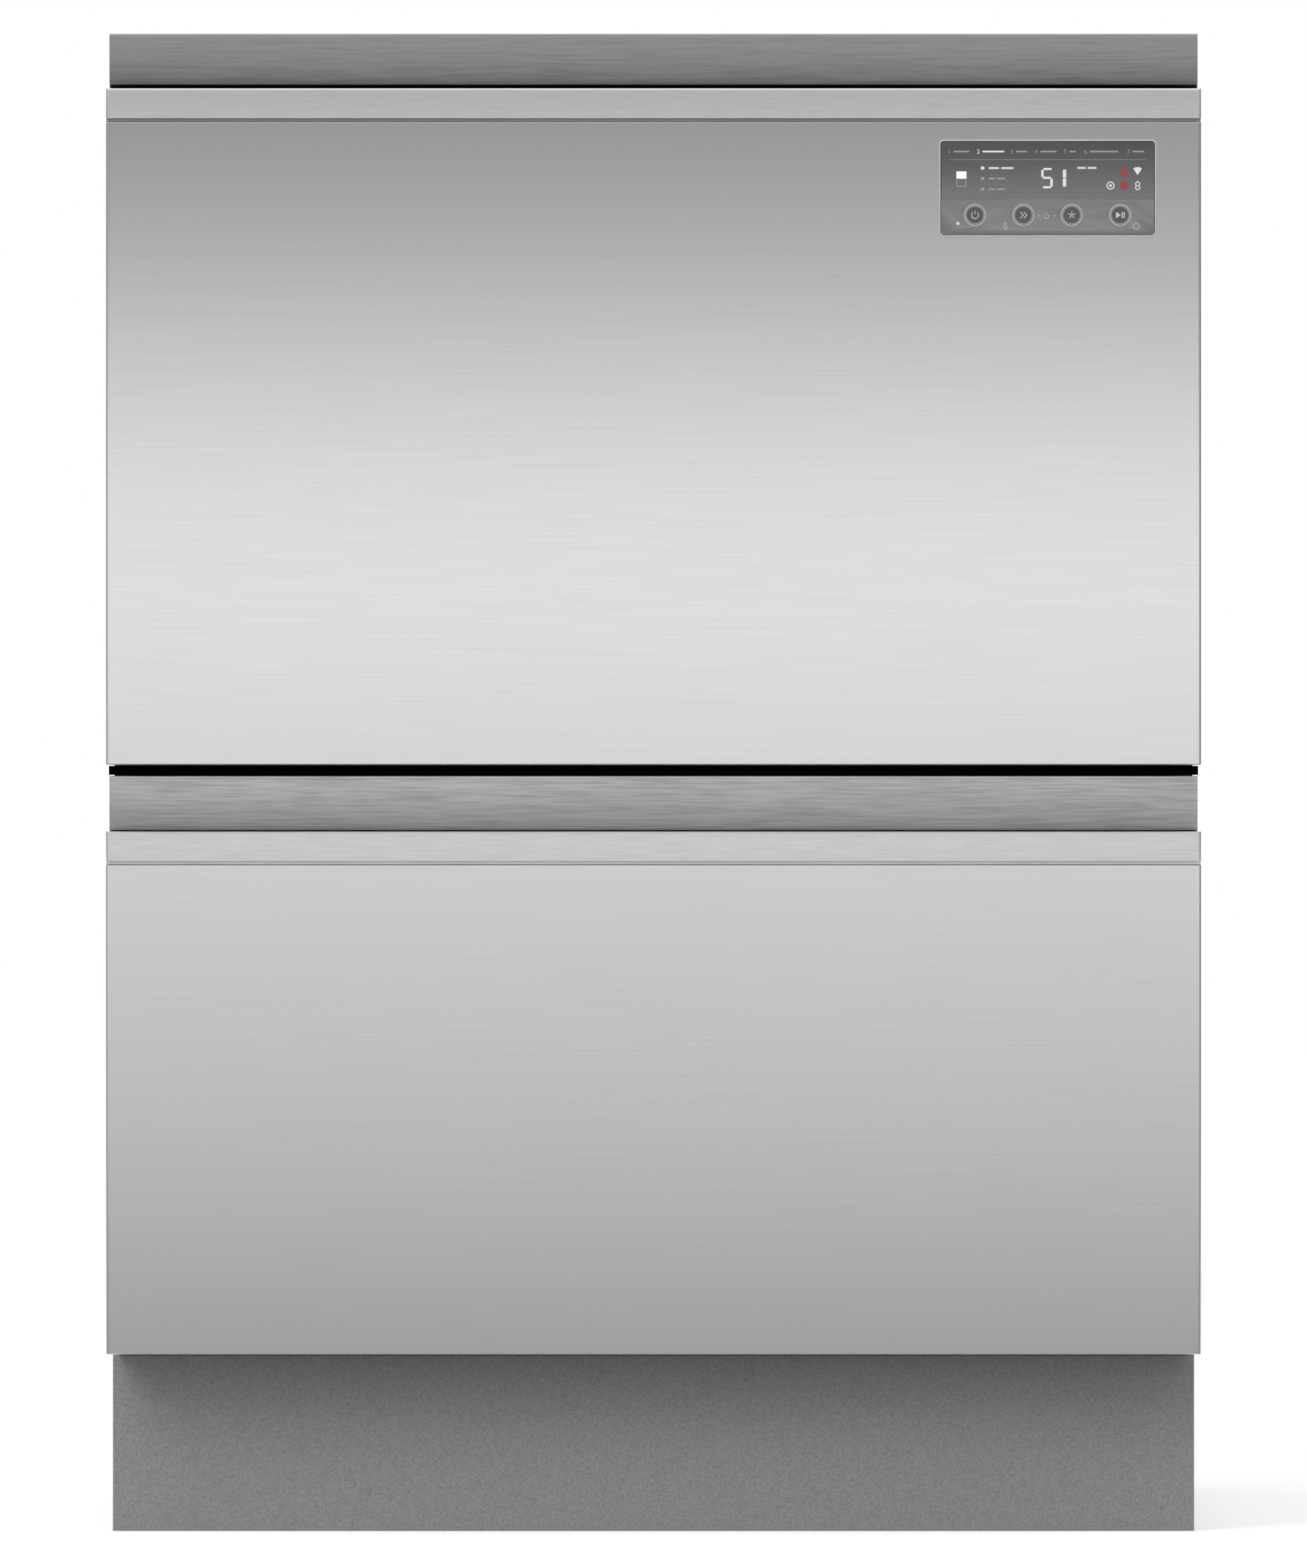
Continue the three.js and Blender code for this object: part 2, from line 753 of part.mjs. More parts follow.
const thick = (middle) => [middle - wire / 2, middle + wire / 2];
const ends = (places) => [places[0], places[places.length - 1]];
const rackXs = spaced(wire / 2 - rackHalf, rackHalf - wire / 2, rackPitch);
const rackYs = spaced(rackFront + wire / 2, rackRear - wire / 2, crossPitch);
const uprightXs = spaced(wire / 2 - rackHalf, rackHalf - wire / 2, uprightPitch);
const tineYs = spaced(rackFront, rackRear, tinePitch);
const spanOf = (places) => [thick(places[0])[0], thick(places[places.length - 1])[1]];

// A wire rack: a grid base, walls of level wires and a few uprights, plate tines, and corner posts that stand
// on the tub's floor.
function rack(name, level) {
  const base = thick(level.rack + wire / 2);
  const wallZs = spaced(level.rack + wire / 2, level.rackTop - wire / 2, rackPitch).slice(1);
  const across = (y, heights) => block(spanOf(rackXs), thick(y), heights);
  const along = (x, heights) => block(thick(x), spanOf(rackYs), heights);
  const upright = (x, y, bottom) => block(thick(x), thick(y), [bottom, level.rackTop]);
  const inside = (places) => places.slice(1, -1);
  const plateXs = inside(rackXs).filter(
    (x) => x > basketLeft + basketWidth + wire && x < cupHingeX - cupShelfReach - wire,
  );
  const tine = (x, y) =>
    block([x - tineHalf, x + tineHalf], [y - tineHalf, y + tineHalf], [base[1] - 1, base[1] + tineHeight]);
  const brackets = cupShelf.map((y, end) => {
    const inward = end ? [y - cupBracket, y] : [y, y + cupBracket];
    const height = [level.cupHinge - cupBracket / 2, level.cupHinge + cupBracket / 2];
    return block([cupHingeX - cupBracket / 2, rackHalf - 1], inward, height);
  });
  const bracketYs = cupShelf.map((y, end) => y + (end ? -cupBracket : cupBracket) / 2);
  const bore = pin(cupHingeX, level.cupHinge, pivotRadius + pivotPlay, [cupShelf[0] - 1, cupShelf[1] + 1]);
  const whole = join(
    ...rackYs.map((y) => across(y, base)),
    ...rackXs.map((x) => along(x, base)),
    ...wallZs.flatMap((z) => ends(rackYs).map((y) => across(y, thick(z)))),
    ...wallZs.flatMap((z) => ends(rackXs).map((x) => along(x, thick(z)))),
    ...inside(rackYs).flatMap((y) => ends(rackXs).map((x) => upright(x, y, base[0]))),
    ...inside(uprightXs).flatMap((x) => ends(rackYs).map((y) => upright(x, y, base[0]))),
    ...ends(rackXs).flatMap((x) => ends(rackYs).map((y) => upright(x, y, level.tubFloor + seatGap))),
    ...plateXs.flatMap((x) => inside(tineYs).map((y) => tine(x, y))),
    ...bracketYs.map((y) => upright(ends(rackXs)[1], y, base[0])),
    ...brackets,
  );
  return mesh(name, cut(whole, bore), coatedWire);
}

// A shelf that folds up against the side of the rack. Its long back wire is the pivot.
function cupRack(name, level) {
  const xs = spaced(cupHingeX - cupShelfReach + wire / 2, cupHingeX - cupBracket, cupShelfReach / 3);
  const inner = [cupShelf[0] + cupBracket + slideGap, cupShelf[1] - cupBracket - slideGap];
  const ys = spaced(inner[0] + wire / 2, inner[1] - wire / 2, rackPitch);
  const flat = thick(level.cupHinge);
  const pivot = pin(cupHingeX, level.cupHinge, pivotRadius, [cupShelf[0] + 1, cupShelf[1] - 1]);
  const cross = ys.map((y) => block([thick(xs[0])[0], cupHingeX], thick(y), flat));
  const longs = xs.map((x) => block(thick(x), spanOf(ys), flat));
  return mesh(name, join(pivot, ...cross, ...longs), coatedWire);
}

// An open basket with a row of cells.
function cutleryBasket(name, level) {
  const bottom = level.rack + wire + seatGap;
  const x = [basketLeft, basketLeft + basketWidth];
  const y = [tub.middle - basketLength / 2, tub.middle + basketLength / 2];
  const cell = (basketLength - basketWall * (basketCells + 1)) / basketCells;
  const cells = Array.from({ length: basketCells }, (_, i) => {
    const start = y[0] + basketWall + i * (cell + basketWall);
    return block(
      [x[0] + basketWall, x[1] - basketWall],
      [start, start + cell],
      [bottom + basketWall, bottom + basketHeight + 1],
    );
  });
  return mesh(name, cut(block(x, y, [bottom, bottom + basketHeight]), ...cells), basketPlastic);
}

// ---- Lid ----

const lidGrow = tubFlange - seatGap;
const studPlaces = [-studSpacing / 2, studSpacing / 2];

// A ribbed tray with two studs that run in the actuator's sockets.
function lid(name, level) {
  const whole = tubOutline(lidGrow, [level.lid, level.lidTop]);
  const hollow = tubOutline(lidGrow - lidWall, [level.lid + lidWall, level.lidTop + 1]);
  const ribs = [
    block([-tub.half, tub.half], [tub.middle - lidWall, tub.middle + lidWall], [level.lid + 1, level.lidTop]),
    ...studPlaces.map((x) =>
      block([x - lidWall, x + lidWall], [tub.front, tub.rear], [level.lid + 1, level.lidTop]),
    ),
  ];
  const studs = studPlaces.map((x) =>
    post(x, tub.middle, studRadius, [level.lid + 1, level.lidTop + studHeight], smallSegments),
  );
  return mesh(name, join(cut(whole, hollow), ...ribs, ...studs), lidPlastic);
}

function lidSeal(name, level) {
  const heights = [level.seal, level.seal + sealHeight];
  const whole = tubOutline(lidGrow, heights);
  const hole = tubOutline(lidGrow - sealWidth, [heights[0] - 1, heights[1] + 1]);
  return mesh(name, cut(whole, hole), sealRubber);
}

// The beam under the cabinet's ceiling that lowers the lid and lifts it again.
function lidActuator(name, level) {
  const heights = [level.lidTop + seatGap, level.ceiling - seatGap];
  const beam = block(
    [-actuatorLength / 2, actuatorLength / 2],
    [tub.middle - actuatorWidth / 2, tub.middle + actuatorWidth / 2],
    heights,
  );
  const sockets = studPlaces.map((x) =>
    post(
      x,
      tub.middle,
      studRadius + studPlay,
      [heights[0] - 1, level.lidTop + studHeight + 1],
      smallSegments,
    ),
  );
  return mesh(name, cut(beam, ...sockets), trayPlastic);
}

// ---- Runners ----

// A channel section, drawn in X and Z, that opens towards the middle or away from it.
function channel(rail, centre, side, opensInward) {
  const { out, depth, half } = rail;
  const inner = out - depth;
  const web = opensInward ? [out - railWall, out] : [inner, inner + railWall];
  const open = opensInward ? inner : out;
  const back = opensInward ? out : inner;
  const webInside = opensInward ? web[0] : web[1];
  const points = [
    [open, half],
    [back, half],
    [back, -half],
    [open, -half],
    [open, railWall - half],
    [webInside, railWall - half],
    [webInside, half - railWall],
    [open, half - railWall],
  ];
  return outline(points.map(([x, z]) => [side * x, centre + z]));
}

function rail(name, section, level, side) {
  return mesh(name, alongY(channel(section, level.rail, side, true), [railFront, railRear]), zincSteel);
}

// The inner rails, the shelves that carry the tub, and the strap behind it, in one piece.
function tubCradle(name, level) {
  const front = innerFrontRear + seatGap;
  const shelfBottom = level.rail - innerRail.half;
  const strap = [tub.rear + seatGap, tub.rear + seatGap + railWall];
  const sides = [-1, 1].flatMap((side) => {
    const shelf = [innerRailWeb - cradleShelf, innerRailWeb + railWall / 2].map((x) => side * x);
    return [
      alongY(channel(innerRail, level.rail, side, false), [front, railRear]),
      block(shelf.sort((a, b) => a - b), [front, strap[1]], [shelfBottom, shelfBottom + railWall]),
    ];
  });
  const strapHalf = innerRailWeb + railWall / 2;
  const back = block([-strapHalf, strapHalf], strap, [shelfBottom, level.rail + innerRail.half]);
  return mesh(name, join(...sides, back), zincSteel);
}

// ---- Cabinet ----

// A folded side sheet, cut away at the front over the toe space.
function sidePanel(name, side) {
  const x = (distance) => side * (chassisHalf - distance);
  const flangeBack = rearFace - sheet - seatGap;
  const plan = outline([
    [x(0), chassisFront],
    [x(frontFlange), chassisFront],
    [x(frontFlange), chassisFront + sheet],
    [x(sheet), chassisFront + sheet],
    [x(sheet), flangeBack - sheet],
    [x(rearFlange), flangeBack - sheet],
    [x(rearFlange), flangeBack],
    [x(0), flangeBack],
  ]);
  const whole = alongZ(plan, [sideBottom, chassisTop - sheet - seatGap]);
  const notch = block(
    [-frontHalf, frontHalf],
    [chassisFront - 1, frontFace + toeKickSetback + toeKickReturn + seatGap],
    [sideBottom - 1, toeKickTop + seatGap],
  );
  return mesh(name, cut(whole, notch), galvanisedSteel);
}

const trayInside = trayFloor + trayWall + seatGap;
const valvePlace = { x: chassisHalf - valveInset, z: trayInside + valvePortRise };
const drainPlaces = [1, 2].map((i) => valvePlace.x - i * hosePitch);
const hoseHeight = trayTop + hoseRise;

// The back sheet, with holes for the water inlet, two drain hoses and the power cord.
function rearPanel() {
  const half = chassisHalf - seatGap;
  const across = [rearFace - sheet, rearFace];
  const through = [across[0] - 1, across[1] + 1];
  const whole = block([-half, half], across, [sideBottom, chassisTop - sheet - seatGap]);
  const holes = [
    pin(valvePlace.x, valvePlace.z, valvePortRadius + valvePortPlay, through, smallSegments),
    ...drainPlaces.map((x) => pin(x, hoseHeight, hoseHole, through, smallSegments)),
    pin(-valvePlace.x, hoseHeight, cordHole, through, smallSegments),
  ];
  return mesh('rear_panel', cut(whole, ...holes), galvanisedSteel);
}

function topPanel() {
  const heights = [chassisTop - sheet, chassisTop];
  const sheetMetal = block([-chassisHalf, chassisHalf], [chassisFront, rearFace], heights);
  return mesh('top_panel', sheetMetal, galvanisedSteel);
}

// The tray between the drawers that carries the lower lid's actuator and catches drips.
function midShelf() {
  const bottom = lowerBase + lowerLevel.ceiling;
  const half = chassisInner - seatGap;
  const y = [chassisFront + sheet + seatGap, rearFace - 2 * sheet - 2 * seatGap];
  const whole = block([-half, half], y, [bottom, bottom + shelfHeight]);
  const hollow = block(
    [shelfSheet - half, half - shelfSheet],
    [y[0] + shelfSheet, y[1] - shelfSheet],
    [bottom + shelfSheet, bottom + shelfHeight + 1],
  );
  return mesh('mid_shelf', cut(whole, hollow), galvanisedSteel);
}

function toeKick() {
  const front = frontFace + toeKickSetback;
  const half = frontHalf - toeKickInset;
  const profile = outline([
    [front, toeKickBottom],
    [front + toeKickSheet, toeKickBottom],
    [front + toeKickSheet, toeKickTop - toeKickSheet],
    [front + toeKickReturn, toeKickTop - toeKickSheet],
    [front + toeKickReturn, toeKickTop],
    [front, toeKickTop],
  ]);
  return mesh('toe_kick', alongX(profile, [-half, half]), plinthPaint);
}

const tray = {
  half: chassisInner - seatGap,
  front: frontFace + toeKickSetback + toeKickSheet + seatGap,
  rear: rearFace - 2 * sheet - 2 * seatGap,
};
const socketPlaces = [
  ['front_left_foot', -1, tray.front + socketInset],
  ['front_right_foot', 1, tray.front + socketInset],
  ['rear_left_foot', -1, tray.rear - socketInset],
  ['rear_right_foot', 1, tray.rear - socketInset],
].map(([name, side, y]) => ({ name, x: side * (tray.half - socketInset), y }));

// The moulded tray under the cabinet, with a long socket for each foot.
function baseTray() {
  const whole = block([-tray.half, tray.half], [tray.front, tray.rear], [trayFloor, trayTop]);
  const hollow = block(
    [trayWall - tray.half, tray.half - trayWall],
    [tray.front + trayWall, tray.rear - trayWall],
    [trayFloor + trayWall, trayTop + 1],
  );
  const sockets = socketPlaces.map(({ x, y }) =>
    post(x, y, socketRadius, [socketBottom, trayTop - 1], smallSegments),
  );
  const bores = socketPlaces.map(({ x, y }) =>
    post(x, y, footStemRadius + footPlay, [socketBottom - 1, trayTop], smallSegments),
  );
  const valveNotch = block(
    [valvePlace.x - valvePortRadius - valvePortPlay, valvePlace.x + valvePortRadius + valvePortPlay],
    [tray.rear - trayWall - 1, tray.rear + 1],
    [valvePlace.z - valvePortRadius - valvePortPlay, trayTop + 1],
  );
  return mesh('base_tray', cut(join(cut(whole, hollow), ...sockets), ...bores, valveNotch), trayPlastic);
}

// A levelling foot, screwed right in. It winds down out of its socket.
function foot({ name, x, y }) {
  const profile = [
    [0, 0],
    [footPadRadius, 0],
    [footPadRadius, footPadEdge],
    [footCollarRadius, footPadHeight],
    [footStemRadius, footPadHeight],
    [footStemRadius, footPadHeight + footStemLength],
    [0, footPadHeight + footStemLength],
  ];
  return mesh(name, turned(profile, x, y, smallSegments), darkPlastic);
}

// ---- Services in the base ----

function controlModule() {
  const x = [moduleRight - moduleSize.x, moduleRight];
  const rear = tray.rear - moduleRearSpace;
  const front = rear - moduleSize.y;
  const box = block(x, [front, rear], [trayInside, trayInside + moduleSize.z]);
  const plug = block(
    [x[0] + plugInset, x[1] - plugInset],
    [front - plugDepth, front + 1],
    plugHeights.map((height) => trayInside + height),
  );
  return mesh('control_module', join(box, plug), valveWhite);
}

function inletValve() {
  const { x, z } = valvePlace;
  const portEnd = rearFace - sheet - seatGap;
  const bodyRear = portEnd - valvePortLength;
  const bodyMiddle = bodyRear - valveBody.y / 2;
  const body = block(
    [x - valveBody.x / 2, x + valveBody.x / 2],
    [bodyRear - valveBody.y, bodyRear],
    [trayInside, trayInside + valveBody.z],
  );
  const port = pin(x, z, valvePortRadius, [bodyRear - 1, portEnd], smallSegments);
  const bore = pin(x, z, valvePortRadius - valvePortWall, [bodyRear + 2, portEnd + 1], smallSegments);
  const coil = post(x, bodyMiddle, valveCoilRadius, [z, trayTop - 1], smallSegments);
  return mesh('inlet_valve', cut(join(body, port, coil), bore), valveWhite);
}

// ---- Assembly ----

function cabinet() {
  const group = new THREE.Group();
  group.add(sidePanel('left_side_panel', -1), sidePanel('right_side_panel', 1));
  group.add(rearPanel(), topPanel(), midShelf(), toeKick(), baseTray());
  group.add(...socketPlaces.map(foot));
  group.add(controlModule(), inletValve());
  return group;
}

// Everything that belongs to one drawer's space, placed from the bottom edge of its front. A drawer with
// controls has an opening in its panel, a pocket behind it, and a bay that ends below the pocket.
function compartment(prefix, level, base, { opening, pocket, bayTop } = {}) {
  const named = (what) => `${prefix}_${what}`;
  const group = new THREE.Group();
  group.add(frontPanel(named('front_panel'), level, opening));
  group.add(handleStrip(named('handle_strip'), level));
  group.add(gripBand(named('grip_band'), level));
  group.add(innerFront(named('inner_front'), level, bayTop, pocket));
  group.add(washTub(named('tub'), level), dispenserLid(named('dispenser_lid'), level));
  group.add(washMotor(named('wash_motor'), level), filterPlate(named('filter_plate'), level));
  group.add(sprayArm(named('spray_arm'), level), rack(named('rack'), level));
  group.add(cupRack(named('cup_rack'), level), cutleryBasket(named('cutlery_basket'), level));
  group.add(tubCradle(named('tub_cradle'), level));
  group.add(rail(named('left_outer_rail'), outerRail, level, -1));
  group.add(rail(named('right_outer_rail'), outerRail, level, 1));
  group.add(rail(named('left_middle_rail'), middleRail, level, -1));
  group.add(rail(named('right_middle_rail'), middleRail, level, 1));
  group.add(lid(named('lid'), level), lidSeal(named('lid_seal'), level));
  group.add(lidActuator(named('lid_actuator'), level));
  group.position.z = base;
  return group;
}

function controls() {
  const group = new THREE.Group();
  group.add(displayWindow(), buttonStrip(), displayBoard());
  group.add(...buttonNames.map(button));
  group.position.z = upperBase;
  return group;
}

const dishwasher = new THREE.Group();
dishwasher.add(
  cabinet(),
  compartment('upper', upperLevel, upperBase, {
    opening: controlOpening,
    pocket: controlPocket,
    bayTop: controlBottom - bayRib,
  }),
  compartment('lower', lowerLevel, lowerBase),
  controls(),
);

export default dishwasher;
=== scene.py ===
import math
import bmesh
import bpy
import numpy as np
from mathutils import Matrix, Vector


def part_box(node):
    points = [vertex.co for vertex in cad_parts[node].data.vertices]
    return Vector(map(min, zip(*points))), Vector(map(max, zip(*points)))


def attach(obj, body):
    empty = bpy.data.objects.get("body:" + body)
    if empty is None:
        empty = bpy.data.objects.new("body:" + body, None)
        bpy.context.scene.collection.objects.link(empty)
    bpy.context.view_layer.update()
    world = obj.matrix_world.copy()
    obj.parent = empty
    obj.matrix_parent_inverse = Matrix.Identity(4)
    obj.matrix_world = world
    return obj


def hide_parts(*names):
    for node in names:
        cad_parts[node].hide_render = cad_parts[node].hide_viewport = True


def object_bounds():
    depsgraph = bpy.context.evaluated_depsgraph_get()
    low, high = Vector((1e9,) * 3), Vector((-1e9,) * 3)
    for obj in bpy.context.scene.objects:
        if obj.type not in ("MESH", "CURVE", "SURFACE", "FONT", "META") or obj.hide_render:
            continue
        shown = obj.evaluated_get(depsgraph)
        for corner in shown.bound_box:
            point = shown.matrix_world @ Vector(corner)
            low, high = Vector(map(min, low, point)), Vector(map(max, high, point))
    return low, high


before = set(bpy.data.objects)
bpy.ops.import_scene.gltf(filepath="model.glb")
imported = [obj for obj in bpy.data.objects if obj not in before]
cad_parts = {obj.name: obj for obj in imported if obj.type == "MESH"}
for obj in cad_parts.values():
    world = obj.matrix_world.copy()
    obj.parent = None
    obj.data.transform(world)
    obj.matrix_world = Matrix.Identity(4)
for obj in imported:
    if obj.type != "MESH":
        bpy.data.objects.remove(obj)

# A double dishwasher drawer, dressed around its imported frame. Shapes are worked out in millimetres and become
# metres in makePiece; the view, the lights and the shaders are in metres. -Y is the front and +Z is up.
mm = 0.001
turn = 2 * math.pi
drawers = ("upper", "lower")
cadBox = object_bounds()
print("frame loaded:", len(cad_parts), "nodes")


# View, floor and light

view = {"lens": 336, "sensor": 36, "distance": 8, "eyeHeight": 0.411, "farClip": 60}
lightPlan = {
    "worldLevel": 0.62, "keyWatts": 62, "keyPlace": (-1.9, -3.2, 2.9), "keyAim": (0, 0, 0.4), "keySize": 2.2,
    "floorTone": "#E4E4E4", "floorGlow": 0.56, "floorHalf": 14, "floorPlace": -0.05 * mm,
}
# A studio reflector stands before the steel fronts and only shows in them: (height, brightness) steps
reflector = {
    "distance": 1.06, "width": 6, "height": 2.4, "sidePlace": 2.2, "sideReach": 1.2, "leftLevel": 0.45,
    "floorLevel": 0.26, "floorPlace": 2 * mm, "floorGap": 0.02,
    "steps": (
        (0.00, 0.34), (0.10, 0.52), (0.17, 0.70), (0.26, 0.78), (0.36, 0.80), (0.44, 0.92), (0.52, 1.32),
        (0.58, 1.42), (0.64, 1.08), (0.72, 0.50), (0.82, 0.22), (1.00, 0.18), (1.20, 0.50), (1.40, 0.85),
        (2.39, 0.85),
    ),
}


def linear(code):
    # sRGB hex to linear light, as the shaders read it
    values = [int(code[i:i + 2], 16) / 255 for i in (1, 3, 5)]
    return [v / 12.92 if v <= 0.04045 else ((v + 0.055) / 1.055) ** 2.4 for v in values] + [1]


def addNode(tree, kind, settings=None, links=None):
    # One node with its settings (a property, or an input's value) and the sockets that feed it
    node = tree.nodes.new("ShaderNode" + kind)
    for key, value in (settings or {}).items():
        if isinstance(key, str) and hasattr(node, key):
            setattr(node, key, value)
        else:
            node.inputs[key].default_value = value
    for key, source in (links or {}).items():
        socket = source if isinstance(source, bpy.types.NodeSocket) else source.outputs[0]
        tree.links.new(socket, node.inputs[key])
    return node


def objectPlace(tree):
    return addNode(tree, "TexCoord").outputs["Object"]


def objectHeight(tree):
    return addNode(tree, "SeparateXYZ", links={0: objectPlace(tree)}).outputs["Z"]


def greyRamp(tree, low, high, stops):
    # Greys by height, from low (0) to high (1): each stop is (share of the height, level)
    share = addNode(tree, "MapRange", {"From Min": low, "From Max": high}, {"Value": objectHeight(tree)})
    ramp = addNode(tree, "ValToRGB", links={0: share})
    elements = ramp.color_ramp.elements
    while len(elements) < len(stops):
        elements.new(1.0)
    for element, (place, level) in zip(elements, stops):
        element.position = place
        element.color = (level, level, level, 1)
    return ramp.outputs["Color"]


def bareMaterial(name):
    material = bpy.data.materials.new(name)
    material.use_nodes = True
    material.node_tree.nodes.clear()
    return material, material.node_tree


def addToScene(name, data):
    thing = bpy.data.objects.new(name, data)
    bpy.context.scene.collection.objects.link(thing)
    return thing


def studioRays(tree):
    # 1 for camera, glossy and transmitted rays, so that metal and glass see the studio as the camera does
    path = addNode(tree, "LightPath")
    either = addNode(tree, "Math", {"operation": "MAXIMUM"},
                     {0: path.outputs["Is Camera Ray"], 1: path.outputs["Is Glossy Ray"]})
    return addNode(tree, "Math", {"operation": "MAXIMUM"},
                   {0: either, 1: path.outputs["Is Transmission Ray"]})


def flatSheet(name, corners, material):
    mesh = bpy.data.meshes.new(name)
    mesh.from_pydata(corners, [], [list(range(len(corners)))])
    mesh.materials.append(material)
    sheet = addToScene(name, mesh)
    return sheet


def levelCorners(x, y0, y1, z):
    return [(-x, y0, z), (x, y0, z), (x, y1, z), (-x, y1, z)]


def makeView():
    scene = bpy.context.scene
    scene.view_settings.view_transform = "Standard"
    data = bpy.data.cameras.new("camera")
    data.lens = view["lens"]
    data.sensor_width = view["sensor"]
    data.clip_end = view["farClip"]
    scene.camera = addToScene("camera", data)
    scene.camera.location = (0, float(cadBox[0][1]) - view["distance"], view["eyeHeight"])
    scene.camera.rotation_euler = (turn / 4, 0, 0)


def makeLight():
    world = bpy.data.worlds.new("studio")
    bpy.context.scene.world = world
    world.use_nodes = True
    tree = world.node_tree
    tree.nodes.clear()
    level = addNode(tree, "MapRange", {"To Min": lightPlan["worldLevel"], "To Max": 1.0},
                    {"Value": studioRays(tree)})
    glow = addNode(tree, "Background", {"Color": (1, 1, 1, 1)}, {"Strength": level})
    addNode(tree, "OutputWorld", links={"Surface": glow})

    key = bpy.data.lights.new("softbox", "AREA")
    key.energy = lightPlan["keyWatts"]
    key.size = lightPlan["keySize"]
    lamp = addToScene("softbox", key)
    lamp.location = lightPlan["keyPlace"]
    x, y, z = np.array(lightPlan["keyAim"]) - np.array(lightPlan["keyPlace"])
    lamp.rotation_euler = (math.atan2(math.hypot(x, y), -z), 0, math.atan2(-x, y))
    lamp.visible_glossy = False


def makeFloor():
    # A pale matt floor that keeps the object's shadow
    material, tree = bareMaterial("studio floor")
    matt = addNode(tree, "BsdfDiffuse", {"Color": linear(lightPlan["floorTone"])})
    level = addNode(tree, "MapRange", {"To Max": lightPlan["floorGlow"]}, {"Value": studioRays(tree)})
    glow = addNode(tree, "Emission", {"Color": (1, 1, 1, 1)}, {"Strength": level})
    both = addNode(tree, "AddShader", links={0: matt, 1: glow})
    addNode(tree, "OutputMaterial", links={"Surface": both})
    half = lightPlan["floorHalf"]
    flatSheet("studio_floor", levelCorners(half, -half, half, lightPlan["floorPlace"]), material)


def glowCard(name, level, steps=()):
    # A card that glows evenly, or by height in steps
    material, tree = bareMaterial(name)
    glow = addNode(tree, "Emission", {"Color": (level, level, level, 1)})
    if steps:
        top = reflector["height"]
        stops = [(z / top, stepLevel) for z, stepLevel in steps]
        tree.links.new(greyRamp(tree, 0, top, stops), glow.inputs["Color"])
    addNode(tree, "OutputMaterial", links={"Surface": glow})
    return material


def makeReflector():
    # What brushed steel shows in a studio: a graded card, a flag at each side and one on the floor
    top, half, edge = reflector["height"], reflector["width"] / 2, reflector["sidePlace"]
    front = float(cadBox[0][1])
    y, back = front - reflector["distance"], front + reflector["sideReach"]
    graded = glowCard("graded reflector card", 1, reflector["steps"])
    dark, grey = glowCard("dark card", reflector["floorLevel"]), glowCard("grey card", reflector["leftLevel"])

    def upright(a, b):
        return [(*a, 0), (*b, 0), (*b, top), (*a, top)]

    floorFlag = levelCorners(half, y, front - reflector["floorGap"], reflector["floorPlace"])
    for name, corners, material in (("studio_reflector", upright((-half, y), (half, y)), graded),
                                    ("studio_left_flag", upright((-edge, y), (-edge, back)), grey),
                                    ("studio_right_flag", upright((edge, y), (edge, back)), dark),
                                    ("studio_floor_flag", floorFlag, dark)):
        sheet = flatSheet(name, corners, material)
        for ray in ("camera", "diffuse", "transmission", "volume_scatter", "shadow"):
            setattr(sheet, "visible_" + ray, False)


makeView()
makeLight()
makeFloor()
makeReflector()
print("view, floor and light made")


# Surfaces worked out with numpy, in millimetres

def box(node):
    return np.array(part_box(node)) / mm


def quarter(steps):
    return np.linspace(0, turn / 4, steps)


def loft(rings, closed=False):
    # Ring i, point j joins to ring i+1, point j+1 in four-sided faces; open ends are closed by one face each
    rings = np.asarray(rings, float)
    m, n = rings.shape[:2]
    i = np.arange(m if closed else m - 1)[:, None]
    j = np.arange(n)[None, :]
    here, after, beside = i * n, (i + 1) % m * n, (j + 1) % n
    corners = np.broadcast_arrays(here + j, here + beside, after + beside, after + j)
    faces = np.stack(corners, -1).reshape(-1, 4).tolist()
    if not closed:
        faces += [list(range(n))[::-1], list(range((m - 1) * n, m * n))]
    return rings.reshape(-1, 3), faces


def stand(flat, depth, axis):
    # A flat outline (u, v) stood at a depth along X (u=y, v=z), Y (u=x, v=z) or Z (u=x, v=y)
    flat = np.asarray(flat, float)
    return np.insert(flat, axis, np.broadcast_to(depth, flat.shape[:-1]), -1)


def roundedOutline(u0, u1, v0, v1, radii, steps=5):
    # Quarter circles joined by straight sides, in the order u1v0, u1v1, u0v1, u0v0
    arcs = []
    for k, r in enumerate(np.broadcast_to(np.maximum(radii, 0.01), 4)):
        u = u1 - r if k < 2 else u0 + r
        v = v1 - r if k in (1, 2) else v0 + r
        a = quarter(steps + 1) + (k - 1) * turn / 4
        arcs.append(np.stack([u + r * np.cos(a), v + r * np.sin(a)], -1))
    return np.concatenate(arcs)


def insetRing(rect, inset, corner, depth, axis, steps=5):
    # The outline of a rectangle (u0, u1, v0, v1), drawn in all round and stood at a depth
    u0, u1, v0, v1 = rect
    return stand(roundedOutline(u0 + inset, u1 - inset, v0 + inset, v1 - inset, corner, steps), depth, axis)


def faceRect(low, high, axis):
    u, v = [k for k in range(3) if k != axis]
    return low[u], high[u], low[v], high[v]


